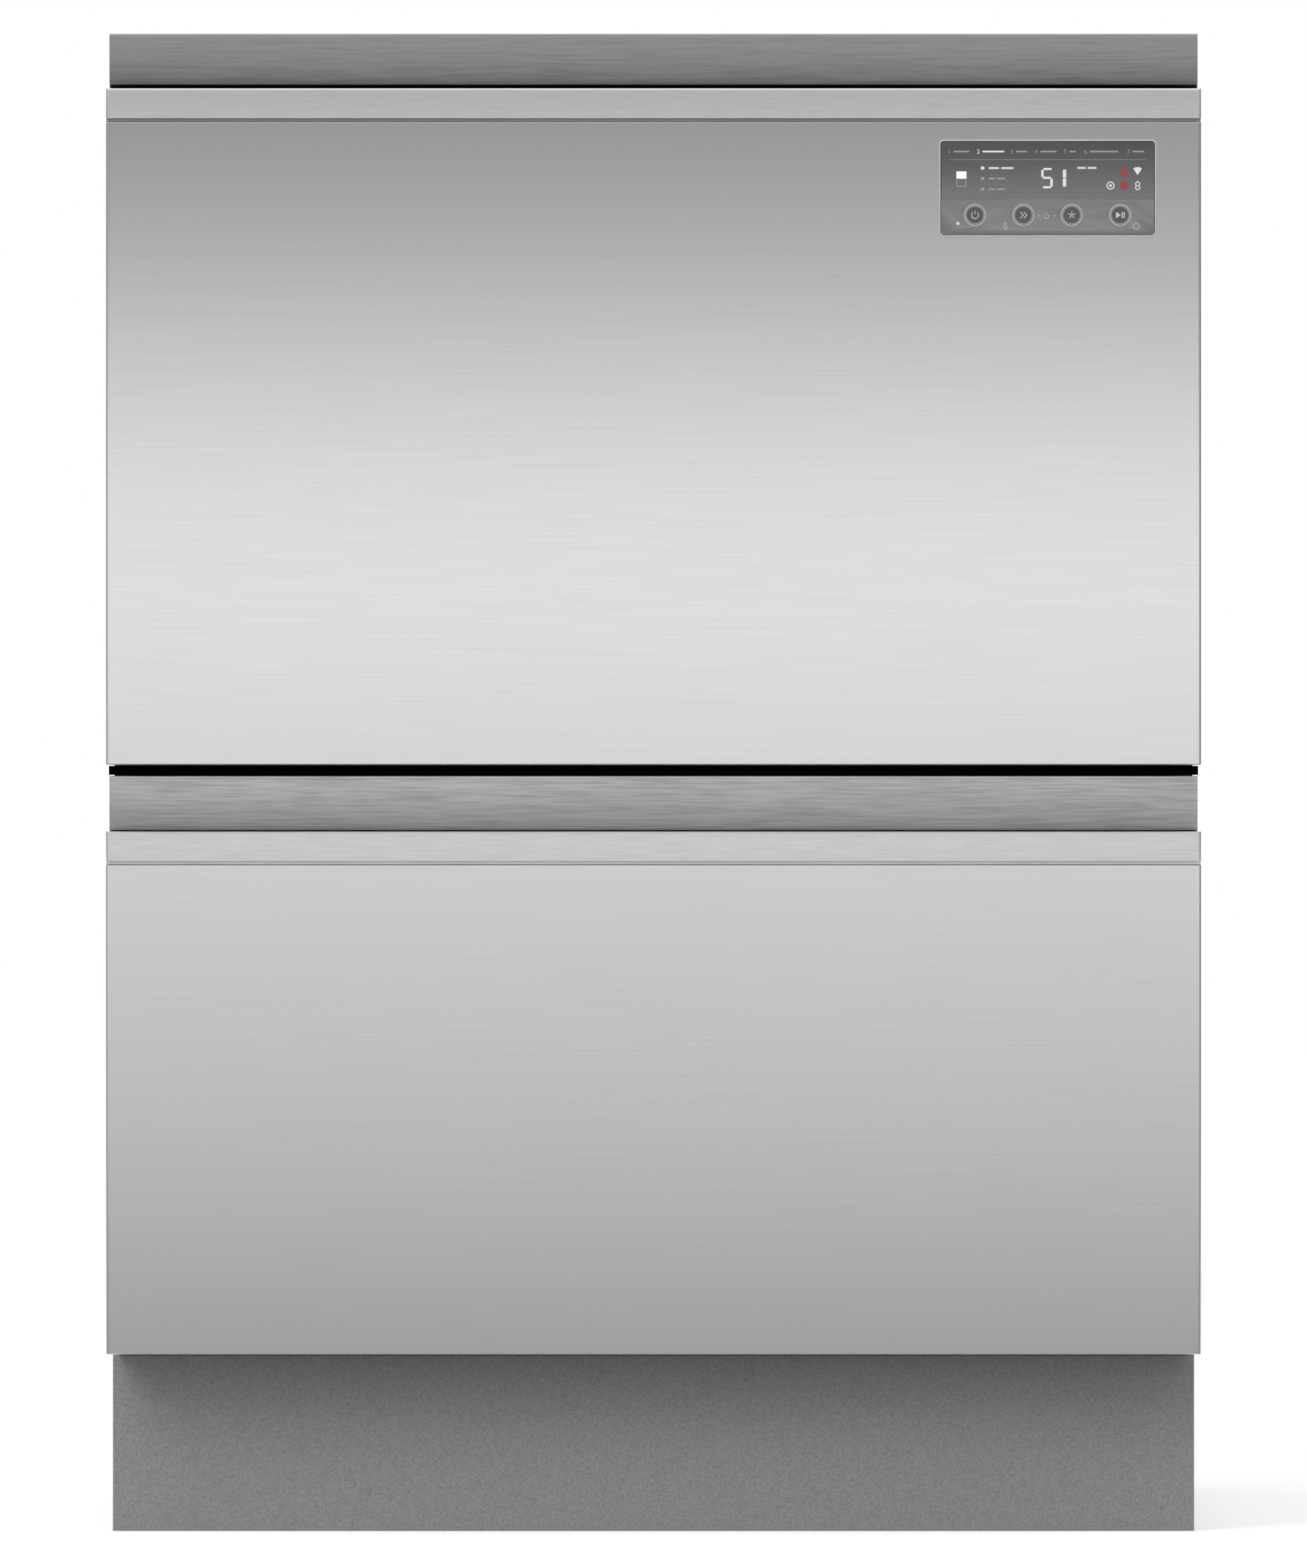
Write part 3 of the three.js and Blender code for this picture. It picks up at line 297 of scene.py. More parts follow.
def softBlock(low, high, corner, edge, axis=2, steps=5):
    # A block with rounded corners seen along its axis, whose two end faces roll over a quarter circle:
    # inset = edge (1 - sin t), depth = edge (1 - cos t), t from 0 to 90 degrees, and back at the far end
    t = quarter(4)
    inset = edge * (1 - np.sin(np.append(t, t[::-1])))
    rise = edge * (1 - np.cos(t))
    depth = np.append(low[axis] + rise, high[axis] - rise[::-1])
    rect, corner = faceRect(low, high, axis), np.broadcast_to(corner, 4)
    return loft([insetRing(rect, i, corner - i, d, axis, steps) for i, d in zip(inset, depth)])


def turned(profile, centre, axis=2, segments=40, closed=False):
    # Each (radius, height) of the profile turns about an axis: u = r cos a, v = r sin a
    profile = np.asarray(profile, float)
    angle = np.arange(segments) * turn / segments
    flat = profile[:, :1, None] * np.stack([np.cos(angle), np.sin(angle)], -1)[None]
    flat = flat + np.delete(np.array(centre, float), axis)
    return loft(stand(flat, profile[:, 1:2] + centre[axis], axis), closed)


def sleeve(inner, outer, near, far):
    # The section of a ring that is turned as a closed skin
    return [(inner, far), (inner, near), (outer, near), (outer, far)]


def tube(path, radius, sides=8, loop=False):
    # A circle carried along a path, square to the path's direction at each point
    path = np.asarray(path, float)
    ahead = np.roll(path, -1, 0) - np.roll(path, 1, 0) if loop else np.gradient(path, axis=0)
    ahead /= np.linalg.norm(ahead, axis=1, keepdims=True)
    up = np.eye(3)[np.ptp(path, axis=0).argmin()]
    side = np.cross(ahead, up)
    side /= np.linalg.norm(side, axis=1, keepdims=True)
    top = np.cross(side, ahead)
    angle = (np.arange(sides) + 0.5) * turn / sides
    radius = np.broadcast_to(radius, len(path))[:, None, None]
    ring = np.cos(angle)[:, None] * side[:, None] + np.sin(angle)[:, None] * top[:, None]
    return loft(path[:, None] + radius * ring, loop)


def bent(points, radius, steps=4):
    # Each inner corner becomes the curve (1-t)^2 a + 2t(1-t) corner + t^2 b, a and b a radius from it
    p = np.asarray(points, float)
    back, on = p[:-2] - p[1:-1], p[2:] - p[1:-1]
    a = p[1:-1] + radius * back / np.linalg.norm(back, axis=1, keepdims=True)
    b = p[1:-1] + radius * on / np.linalg.norm(on, axis=1, keepdims=True)
    t = np.linspace(0, 1, steps + 1)[None, :, None]
    curves = (1 - t) ** 2 * a[:, None] + 2 * t * (1 - t) * p[1:-1, None] + t ** 2 * b[:, None]
    return np.concatenate([p[:1], curves.reshape(-1, p.shape[1]), p[-1:]])


def sectionAlongX(section, x0, x1):
    # A closed (y, z) section carried from x0 to x1
    return loft([stand(section, x, 0) for x in (x0, x1)])


def finished(parts, which=1):
    # The same parts in a piece's second finish
    return [(points, faces, which) for points, faces in parts]


def settle(piece, body, node):
    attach(piece, body)
    if node:
        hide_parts(node)


def makePiece(name, body, parts, finishes, node=None, sharp=38, flatFront=False):
    # parts: (points, faces) or (points, faces, which finish); a flat front keeps its neighbours' curve out
    points, faces, which = [], [], []
    start = 0
    for partPoints, partFaces, *index in parts:
        points.append(partPoints)
        faces += [[start + k for k in face] for face in partFaces]
        which += [index[0] if index else 0] * len(partFaces)
        start += len(partPoints)
    mesh = bpy.data.meshes.new(name)
    mesh.from_pydata(np.concatenate(points) * mm, [], faces)
    for key in finishes:
        mesh.materials.append(finish[key])
    mesh.polygons.foreach_set("material_index", which)
    shell = bmesh.new()
    shell.from_mesh(mesh)
    bmesh.ops.remove_doubles(shell, verts=shell.verts, dist=1e-7)
    bmesh.ops.recalc_face_normals(shell, faces=shell.faces)
    shell.to_mesh(mesh)
    shell.free()
    mesh.shade_smooth()
    mesh.set_sharp_from_angle(angle=math.radians(sharp))
    if flatFront:
        for face in mesh.polygons:
            face.use_smooth = abs(face.normal[1]) < 0.9999
    settle(addToScene(name, mesh), body, node)


def drawerPiece(drawer, name, parts, finishes, node=None, sharp=38, body="drawer", flatFront=False):
    node = node and f"{drawer}_{node}"
    makePiece(f"{drawer}_{name}", f"{drawer}_{body}", parts, finishes, node, sharp, flatFront)


def eased(node, body, key, edge, thinner=0.0):
    # A CAD node's own shape with its flat faces made whole and its edges eased, as folding or moulding leaves
    # them. A sheet may be made thinner by moving its rear face in.
    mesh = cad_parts[node].data.copy()
    points = np.empty(len(mesh.vertices) * 3)
    mesh.vertices.foreach_get("co", points)
    y = points.reshape(-1, 3)[:, 1]
    y[y > y.max() - 0.1 * mm] -= thinner * mm
    mesh.vertices.foreach_set("co", points)
    shell = bmesh.new()
    shell.from_mesh(mesh)
    bmesh.ops.remove_doubles(shell, verts=shell.verts, dist=2e-6)
    bmesh.ops.dissolve_limit(shell, angle_limit=math.radians(1), verts=shell.verts, edges=shell.edges)
    shell.to_mesh(mesh)
    shell.free()
    mesh.materials.clear()
    mesh.materials.append(finish[key])
    mesh.shade_smooth()
    piece = addToScene(node + "_shell", mesh)
    bevel = piece.modifiers.new("eased edges", "BEVEL")
    bevel.width = edge * mm
    bevel.segments = 2
    bevel.limit_method = "ANGLE"
    bevel.angle_limit = math.radians(28)
    bevel.harden_normals = True
    settle(piece, body, node)


# Materials: lengths in millimetres

def startMaterial(name, colour, roughness, metallic=0.0, **more):
    material = bpy.data.materials.new(name)
    material.use_nodes = True
    shader = material.node_tree.nodes["Principled BSDF"]
    values = {"Base Color": linear(colour), "Roughness": roughness, "Metallic": metallic, **more}
    for key, value in values.items():
        shader.inputs[key].default_value = value
    return material, material.node_tree, shader


def surfaceNoise(tree, size, detail=2, rough=0.5):
    # Noise on Object coordinates, whose features are that long on each axis
    scale = 1 / (np.broadcast_to(size, 3) * mm)
    scaled = addNode(tree, "Mapping", {"Scale": scale}, {"Vector": objectPlace(tree)})
    return addNode(tree, "TexNoise", {"Scale": 1, "Detail": detail, "Roughness": rough}, {"Vector": scaled})


def cells(tree, size, randomness):
    return addNode(tree, "TexVoronoi", {"Scale": 1 / (size * mm), "Randomness": randomness},
                   {"Vector": objectPlace(tree)})


def vary(tree, shader, socket, source, low, high, reach=(0.3, 0.7)):
    spread = addNode(tree, "MapRange", {"From Min": reach[0], "From Max": reach[1],
                     "To Min": low, "To Max": high}, {"Value": source})
    tree.links.new(spread.outputs[0], shader.inputs[socket])


def tint(tree, shader, source, dark, light, reach=(0.35, 0.65)):
    # The base colour runs between two tones as the source does
    share = addNode(tree, "MapRange", {"From Min": reach[0], "From Max": reach[1]}, {"Value": source})
    mixed = addNode(tree, "Mix", {"data_type": "RGBA", 6: linear(dark), 7: linear(light)}, {0: share})
    tree.links.new(mixed.outputs[2], shader.inputs["Base Color"])


def relief(tree, shader, source, depth, strength):
    bump = addNode(tree, "Bump", {"Distance": depth * mm, "Strength": strength}, {"Height": source})
    tree.links.new(bump.outputs[0], shader.inputs["Normal"])


def brushedSteel(name, tone, dark, roughness, spread, length, width, cut):
    # Ferritic stainless sheet, belt brushed along its length: long fine scratches spread its
    # reflections up and down. A scratch is some 0.1 mm wide; it is drawn coarse enough to show.
    material, tree, shader = startMaterial(name, tone, roughness, 1.0, Anisotropic=0.5)
    shader.inputs["Anisotropic Rotation"].default_value = 0.25
    direction = addNode(tree, "Tangent", {"direction_type": "RADIAL", "axis": "Z"})
    tree.links.new(direction.outputs[0], shader.inputs["Tangent"])
    lines = surfaceNoise(tree, (length, length, width), 3, 0.6)
    tint(tree, shader, lines, dark, tone, (0.3, 0.6))
    vary(tree, shader, "Roughness", lines, roughness + spread, roughness - spread)
    relief(tree, shader, lines, cut, 0.5)
    return material


def gradedSteel(name, node, steel, stops):
    # Brushed sheet whose tone follows its height, from the node's bottom (0) to its top (1): painted light and
    # shade
    material = brushedSteel(name, *steel)
    tree = material.node_tree
    base = tree.nodes["Principled BSDF"].inputs["Base Color"]
    low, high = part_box(node)
    toned = addNode(tree, "VectorMath", {"operation": "MULTIPLY"},
                    {0: base.links[0].from_socket, 1: greyRamp(tree, low[2], high[2], stops)})
    tree.links.new(toned.outputs[0], base)
    return material


def mouldedPlastic(name, colour, roughness, grain, depth=0.02, shine=0.5):
    # Injection-moulded: a fine spark-eroded grain, a little uneven in gloss
    material, tree, shader = startMaterial(name, colour, roughness, **{"Specular IOR Level": shine})
    cloud = surfaceNoise(tree, 90)
    vary(tree, shader, "Roughness", cloud, roughness - 0.05, roughness + 0.07)
    relief(tree, shader, surfaceNoise(tree, grain), depth, 0.6)
    return material


def zincSheet(name, light, dark, roughness, spangle):
    # Hot-dipped galvanised sheet: zinc crystals of slightly different tone meet in straight edges
    material, tree, shader = startMaterial(name, light, roughness, 1.0)
    tone = addNode(tree, "SeparateColor", links={0: cells(tree, spangle, 1.0).outputs["Color"]})
    tint(tree, shader, tone, dark, light, (0.0, 1.0))
    vary(tree, shader, "Roughness", tone, roughness - 0.06, roughness + 0.1, (0, 1))
    return material


def rangedPlastic(name, low, high, bottom, top, roughness):
    # Smoked acrylic over a printed film, and the printed control film: the tone runs evenly from one height to
    # another. On the display window, lighter towards its bottom, that is painted reflection; the control film
    # is darker towards its top.
    material, tree, shader = startMaterial(name, low, roughness)
    tint(tree, shader, objectHeight(tree), low, high, (bottom * mm, top * mm))
    vary(tree, shader, "Roughness", surfaceNoise(tree, 7), roughness, roughness + 0.06)
    return material


def litMark(name, colour, strength):
    # Backlit print: a light diode behind a mask, soft at its edges. The grey printed marks on the control film
    # and the printed button icons have no diode behind them: their glow is painted light.
    material, tree, shader = startMaterial(name, colour, 0.5)
    shader.inputs["Emission Color"].default_value = linear(colour)
    vary(tree, shader, "Emission Strength", surfaceNoise(tree, 1.2, 1), strength * 0.85, strength)
    return material


def powderCoat(name, colour, dark, light):
    # Powder-coated plinth steel: a fine leathery texture with darker specks in its low points
    material, tree, shader = startMaterial(name, colour, 0.55)
    peel = surfaceNoise(tree, 0.9, 3, 0.6)
    tint(tree, shader, peel, dark, light, (0.35, 0.6))
    vary(tree, shader, "Roughness", peel, 0.48, 0.62)
    relief(tree, shader, peel, 0.05, 0.6)
    return material


def filterScreen(name, colour, dark, light, pitch):
    # Moulded filter plate: rows of round holes read as dark dots
    material, tree, shader = startMaterial(name, colour, 0.45)
    holes = cells(tree, pitch, 0.0).outputs["Distance"]
    tint(tree, shader, holes, dark, light, (0.24, 0.32))
    relief(tree, shader, holes, 0.5, 0.5)
    return material


# the grip bands' steel: coarse brushing, and a tone darker than the pulls' that is painted shade of the
# recessed band
coarseShadedSteel = ("#BEBEBE", "#ADADAD", 0.38, 0.04, 26, 0.95, 0.005)
fine = ("#E3E3E3", "#D9D9D9", 0.36, 0.014, 24, 0.95, 0.004)
folded = (0.4, 0.03, 40, 0.8, 0.004)
materialPlan = {
    brushedSteel: {
        "panelSteel": ("brushed stainless panel", "#DFDFDF", "#DCDCDC", 0.23, 0.008, 60, 0.6, 0.0015),
        "satinRim": ("satin bezel", "#F0F0F0", "#EAEAEA", 0.62, 0.03, 20, 0.8, 0.004),
        # one folded steel in a shaded and a lit copy: painted shade in the upper groove, painted light in the
        # lower
        "upperFold": ("upper folded return", "#A2A2A2", "#9A9A9A", *folded),
        "lowerFold": ("lower folded return", "#E6E6E6", "#DEDEDE", *folded),
        "runnerSteel": ("bright zinc-plated runner", "#CFD1D0", "#C0C3C2", 0.27, 0.04, 50, 2.2, 0.006),
    },
    gradedSteel: {
        # pulls: painted light and shade by height, the upper lighter towards its top and the lower lighter
        # towards its bottom
        "upperPull": ("upper brushed pull", "upper_handle_strip", fine, ((0, 0.97), (0.4, 1.06), (1, 1.16))),
        "lowerPull": ("lower brushed pull", "lower_handle_strip", fine, ((0, 1.18), (0.4, 1.09), (1, 1.01))),
        # grip bands: painted shade, darker towards the bottom under the pull; the lower band's top stops paint
        # a highlight along its rolled hem
        "upperBand": ("upper coarse brushed band", "upper_grip_band", coarseShadedSteel, (
            (0, 0.50), (0.12, 0.56), (0.5, 0.82), (0.75, 0.96), (1, 1))),
        "lowerBand": ("lower coarse brushed band", "lower_grip_band", coarseShadedSteel, (
            (0, 0.86), (0.3, 0.98), (0.7, 1.14), (0.9, 1.22), (0.945, 1.25), (0.96, 1.6), (1, 1.6))),
    },
    zincSheet: {
        "galvanised": ("galvanised cabinet sheet", "#BBBDBE", "#A9ACAE", 0.38, 9),
        "screwSteel": ("zinc-plated screw", "#D4D2C8", "#B9B7AC", 0.26, 1.5),
    },
    mouldedPlastic: {
        "blackPlastic": ("black moulded polypropylene", "#0C0C0D", 0.5, 1.0),
        "tubPlastic": ("grey moulded tub polypropylene", "#B9BDBF", 0.42, 1.4, 0.015),
        "housingPlastic": ("light grey moulded housing", "#C6CACC", 0.4, 1.2),
        "lidPlastic": ("pale grey moulded lid", "#C9CCCD", 0.45, 1.2),
        # painted shadow: near-black and dull, for the sheet that fills the gap between the drawers
        "gapShadowBlack": ("flocked black rubber", "#030303", 0.9, 0.6, 0.02, 0.08),
        "sealRubber": ("extruded seal rubber", "#2C2E30", 0.72, 0.6, 0.01),
        "baseTray": ("recycled black polypropylene", "#26282B", 0.62, 2.0, 0.04),
        "motorBlack": ("black ribbed motor casing", "#1D1F22", 0.5, 1.2),
        "sprayGrey": ("grey moulded spray arm", "#A4A9AD", 0.38, 1.0),
        "wireCoat": ("grey nylon wire coating", "#C3C7CA", 0.4, 0.7, 0.01),
        "basketGrey": ("grey moulded basket", "#A3A8AC", 0.45, 0.9),
        "serviceWhite": ("natural white nylon", "#DEDDD6", 0.45, 1.0),
        "buttonFace": ("dark grey button face", "#5A5A5A", 0.35, 0.5, 0.008),
        "buttonRing": ("pale grey button ring", "#B6B6B6", 0.35, 0.5, 0.006),
        "boardGreen": ("green solder resist on glass fibre", "#1D5A38", 0.4, 0.5, 0.01),
        "chipBlack": ("black epoxy chip", "#17181A", 0.45, 0.4, 0.006),
    },
    rangedPlastic: {
        # the window runs lighter towards its bottom: painted reflection
        "window": ("smoked display window", "#737373", "#575757", 731.2, 762.1, 0.16),
        "buttonField": ("grey printed control film", "#8E8E8E", "#808080", 711.2, 731.0, 0.2),
    },
    litMark: {
        "whiteMark": ("white lit mark", "#EDEDED", 0.42),
        "paleMark": ("pale lit mark", "#D8D8D8", 0.26),
        "dimMark": ("dim grey mark", "#9C9C9C", 0.06),
        "lineMark": ("faint dividing line", "#868686", 0.03),
        # printed marks with no diode behind them: their glow is painted light
        "softMark": ("grey printed mark", "#AFAFAF", 0.11),
        "iconMark": ("pale printed icon", "#C4C4C4", 0.16),
        "redMark": ("red lit mark", "#A23A3E", 0.12),
    },
    powderCoat: {"plinth": ("powder-coated plinth", "#909090", "#848484", "#9A9A9A")},
    filterScreen: {"filter": ("perforated filter plate", "#63676B", "#1E2022", "#6E7276", 3.2)},
}
finish = {key: make(*values) for make, rows in materialPlan.items() for key, values in rows.items()}
print("materials made:", len(finish))


# Drawer fronts

panelPlan = {"sideRoll": 2.2, "levelRoll": 0.7, "skin": 1.2, "topReturn": 3, "corner": 0.5, "notch": 2}
rimPlan = {"width": 1.1, "corner": 1.7, "gap": 0.03}
openingGrow = 0.3  # the opening is this much larger than the window and the strip in it
foldPlan = {"in": 0.4, "behind": 1.1, "gap": 0.06}


def controlOpening():
    window, strip = box("display_window"), box("button_strip")
    return (window[0][0] - openingGrow, window[1][0] + openingGrow,
            strip[0][2] - openingGrow, window[1][2] + openingGrow)


def notched(ring):
    # Two more points near each end of the top edge, where the deep side returns meet the shallow top one
    near, step = panelPlan["notch"], 0.05
    shifts = np.array([(-near, 0, 0), (-near - step, 0, 0), (near + step, 0, 0), (near, 0, 0)])
    return np.concatenate([ring[:12], ring[[11, 11, 12, 12]] + shifts, ring[12:]])


def frontSkin(drawer):
    # Outlines from the face out over a quarter-circle roll, back along the returns and forward again inside:
    # inset = roll (1 - sin t), depth = side roll (1 - cos t)
    (x0, y0, z0), (x1, y1, z1) = box(drawer + "_front_panel")
    skin, roll, level = panelPlan["skin"], panelPlan["sideRoll"], panelPlan["levelRoll"]

    def outlineAt(insetX, insetZ, depth):
        flat = roundedOutline(x0 + insetX, x1 - insetX, z0 + insetZ, z1 - insetZ, panelPlan["corner"])
        return notched(stand(flat, y0 + depth, 1))

    rings = [outlineAt(roll * (1 - math.sin(t)), level * (1 - math.sin(t)), roll * (1 - math.cos(t)))
             for t in quarter(7)]
    for inset in (0, skin):
        ring = outlineAt(inset, inset, y1 - y0)
        ring[13:15, 1] = y0 + panelPlan["topReturn"]
        rings.append(ring)
    rings.append(outlineAt(skin, skin, skin))
    opening = drawer == "upper"
    if opening:
        grow = rimPlan["width"]
        rings = [notched(insetRing(controlOpening(), -grow, rimPlan["corner"] + grow, y0 + depth, 1))
                 for depth in (skin, 0)] + rings
    drawerPiece(drawer, "front_skin", [loft(rings, opening)], ["panelSteel"],
                "front_panel", 30, flatFront=True)
    # folded steel that shows grey in the groove between the panel and the pull; its tone is painted groove
    # shade, darker in the upper drawer than in the lower
    into, gap = foldPlan["in"], foldPlan["gap"]
    top = box(drawer + "_handle_strip")[0][2] - gap
    fold = softBlock((x0 + into, y0 + foldPlan["behind"], z1 + gap), (x1 - into, y1, top), 0.2, 0.1)
    drawerPiece(drawer, "groove_fold", [fold], [drawer + "Fold"])


def pullStrip(drawer):
    # A flat bar whose top edge is rounded over; each end rolls back as far as the panel's side does
    (x0, y0, z0), (x1, y1, z1) = box(drawer + "_handle_strip")
    section = roundedOutline(y0, y1, z0, z1, (0.2, 0.2, 1.25, 0.35), 6)
    t, roll = quarter(7), panelPlan["sideRoll"]
    rolled = roll * (1 - np.sin(t))
    drop = roll * (1 - np.cos(np.append(t[::-1], t)))
    rings = []
    for x, back in zip(np.append(x0 + rolled[::-1], x1 - rolled), drop):
        ring = stand(section, x, 0)
        ring[:, 1] += (y1 - ring[:, 1]) / (y1 - y0) * back
        rings.append(ring)
    drawerPiece(drawer, "pull_strip", [loft(rings)], [drawer + "Pull"], "handle_strip", 30)


bandPlan = {"curl": 0.9, "crest": 0.8, "hem": 2.1, "lean": 0.2, "roll": 0.6, "skin": 1.2, "wider": 0.6,
            "shorter": {"upper": 0.7, "lower": -1.25}}
slotEnd = {"in": 296.3, "out": 298, "front": -264, "back": -261.5, "reach": 3}


def gripBand(drawer):
    # Foremost at its crest: y = front + curl ((up - crest) / crest)^2. A narrow hem leans back to its top.
    (x0, y0, z0), (x1, y1, z1) = box(drawer + "_grip_band")
    crest, hem, lean, wider = (bandPlan[k] for k in ("crest", "hem", "lean", "wider"))
    z0 += bandPlan["shorter"][drawer]

    def side(setback):
        up = np.linspace(0, 1, 16)
        y = y0 + setback + bandPlan["curl"] * ((up - crest) / crest) ** 2
        curve = np.stack([y, z0 + (z1 - hem - z0) * up], -1)
        roll = max(bandPlan["roll"] - setback, 0.1)
        a = quarter(6)
        rolled = np.stack([y[-1] + lean + roll * (1 - np.cos(a)), z1 - setback - roll * (1 - np.sin(a))], -1)
        return np.concatenate([curve, rolled, [[y1, z1 - setback]]])

    section = np.concatenate([side(0), side(bandPlan["skin"])[::-1]])
    drawerPiece(drawer, "rolled_band", [sectionAlongX(section, x0 - wider, x1 + wider)],
                [drawer + "Band"], "grip_band", 4.2)
    # black cheeks that carry the finger slot's shadow out to the ends of the band
    low, high = box(drawer + "_handle_strip")[1][2] - slotEnd["reach"], z0 + slotEnd["reach"]
    cheeks = [softBlock((a, slotEnd["front"], low), (b, slotEnd["back"], high), 0.4, 0.2)
              for a, b in ((-slotEnd["out"], -slotEnd["in"]), (slotEnd["in"], slotEnd["out"]))]
    drawerPiece(drawer, "slot_cheeks", cheeks, ["blackPlastic"])


for drawer in drawers:
    frontSkin(drawer)
    pullStrip(drawer)
    gripBand(drawer)
    eased(drawer + "_inner_front", drawer + "_drawer", "blackPlastic", 0.5)
print("drawer fronts made")


# Control panel

# Marks are placed on the window in small steps (u, v) from its upper left, and stand a little proud of it
markPlan = {"left": 148.9, "top": 769.84, "step": 0.08322, "stroke": 0.24, "proud": 0.05, "sunk": 0.2,
            "figureHeight": 2.4}
iconPlan = {"stroke": 0.27, "sunk": 0.05, "proud": 0.12, "face": 0.2}
boardPlan = {"chips": 6, "first": 12, "step": 16, "width": 9, "low": 20, "high": 32, "thick": 1.4}


def markPlace(u, v):
    return markPlan["left"] + u * markPlan["step"], markPlan["top"] - v * markPlan["step"]


def bar(u0, v0, u1, v1, which=0, corner=0.15):
    (x0, z1), (x1, z0) = markPlace(u0, v0), markPlace(u1, v1)
    block = softBlock((x0, -markPlan["proud"], z0), (x1, markPlan["sunk"], z1), corner, 0.02, 1, 2)
    return block + (which,)


def disc(u, v, radius, which=0):
    x, z = markPlace(u, v)
    return turned([(radius, -markPlan["proud"]), (radius, markPlan["sunk"])], (x, 0, z), 1, 20) + (which,)


def ringMark(u, v, radius, which=0, stroke=markPlan["stroke"]):
    x, z = markPlace(u, v)
    section = sleeve(radius - stroke, radius + stroke, -markPlan["proud"], markPlan["sunk"])
    return turned(section, (x, 0, z), 1, 24, True) + (which,)


def plate(flat, front, back, which):
    # A flat (x, z) outline cut out as a thin plate
    return loft([stand(flat, front, 1), stand(flat, back, 1)]) + (which,)


def shapeMark(corners, which=0):
    return plate([markPlace(u, v) for u, v in corners], -markPlan["proud"], markPlan["sunk"], which)


def numerals(text, u, v, which=0):
    # Plain figures from Blender's own font, whose size is 1.38 times the height of a figure
    height = markPlan["figureHeight"]
    curve = bpy.data.curves.new("figures", "FONT")
    curve.body = text
    curve.size = height * 1.38
    curve.extrude = 0.06
    curve.resolution_u = 3
    holder = addToScene("figures", curve)
    mesh = bpy.data.meshes.new_from_object(holder)
    points = np.empty(len(mesh.vertices) * 3)
    mesh.vertices.foreach_get("co", points)
    points = points.reshape(-1, 3)
    bpy.data.objects.remove(holder)
    x, z = markPlace(u, v)
    stood = np.stack([x + points[:, 0], -points[:, 2], z - height / 2 + points[:, 1]], -1)
    return stood, [list(face.vertices) for face in mesh.polygons], which


def onFace(parts, y):
    return [(points + (0, y, 0), *rest) for points, *rest in parts]


def displayMarks():
    # the two lit figures: each bar is one segment of a seven-segment display
    figures = ((772, 265, 826, 279), (757, 277, 773, 326), (768, 323, 822, 337), (817, 335, 833, 388),
               (768, 385, 822, 399), (899, 276, 921, 330), (899, 334, 921, 388))
    parts = [bar(*place, 1, 0.4) for place in figures]
    # programme scale: seven numbers, each with a short line; the second one is lit
    places = [(140, 290), (330, 520), (550, 670), (710, 865), (900, 990), (1035, 1270), (1315, 1440)]
    for number, (start, end) in enumerate(places, 1):
        lit = 1 if number == 2 else 2
        parts += [numerals(str(number), start + 4, 157, lit), bar(start + 42, 152, end - 6, 163, lit)]
    # a dividing line; which drawer, the upper half lit and the lower half outlined; two dashes for the stage
    parts += [bar(*place) for place in (
        (148, 208, 1448, 213, 3), (200, 288, 266, 336), (200, 344, 207, 386, 2), (259, 344, 266, 386, 2),
        (202, 382, 264, 389, 2), (994, 259, 1050, 271, 1), (1062, 259, 1120, 271, 1),
    )]
    # options: a dot, then a line in two lengths
    for v, end, lit in ((266, 575, 1), (335, 522, 2), (405, 518, 2)):
        parts += [bar(361, v - 10, 383, v + 10, lit), bar(412, v - 6, 412 + (end - 412) * 0.42, v + 6, lit),
                  bar(412 + (end - 412) * 0.5, v - 6, end, v + 6, lit)]
    # service lights
    drop = [(1303, 258), (1318, 276), (1326, 296), (1320, 314), (1303, 322), (1286, 314), (1280, 296),
            (1288, 276)]
    fan = [(1362, 270), (1376, 260), (1404, 260), (1418, 270), (1390, 312)]
    parts += [shapeMark(drop, 4), disc(1303, 381, 2.3, 4), shapeMark(fan, 1), disc(1212, 381, 0.75, 1)]
    parts += [ringMark(*place) for place in (
        (1212, 381, 1.9, 1, 0.3), (1390, 370, 1.1, 1, 0.28), (1390, 394, 1.1, 1, 0.28))]
    makePiece("display_marks", "upper_drawer", onFace(parts, box("display_window")[0][1]),
              ["whiteMark", "paleMark", "dimMark", "lineMark", "redMark"])


def fieldMarks():
    parts = [bar(*place) for place in (
        (201, 621, 219, 639, 1), (786, 560, 800, 574), (738, 574, 750, 582), (838, 574, 850, 582))]
    parts += [ringMark(*place) for place in (
        (522, 655, 1.0), (522, 632, 0.7), (793, 584, 1.1), (1380, 648, 1.6))]
    makePiece("button_field_marks", "upper_drawer",
              onFace(parts, box("button_strip")[0][1]), ["softMark", "paleMark"])


def plates():
    corner = rimPlan["corner"] - openingGrow
    low, high = box("display_window")
    low[2] -= openingGrow - 0.05  # the pane comes down to the strip
    pane = softBlock(low, high, (0.05, corner, corner, 0.05), 0.1, 1)
    makePiece("display_pane", "upper_drawer", [pane], ["window"], "display_window")
    eased("button_strip", "upper_drawer", "buttonField", 0.12)
    y0 = box("upper_front_panel")[0][1]
    grow = rimPlan["width"] - rimPlan["gap"]
    section = ((grow, 1), (grow, 0.12), (grow - 0.1, 0.05), (0.15, 0.05), (0, 0.2), (0, 1))
    rim = [insetRing(controlOpening(), -out, rimPlan["corner"] + out, y0 + depth, 1, 6)
           for out, depth in section]
    makePiece("control_rim", "upper_drawer", [loft(rim, True)], ["satinRim"])


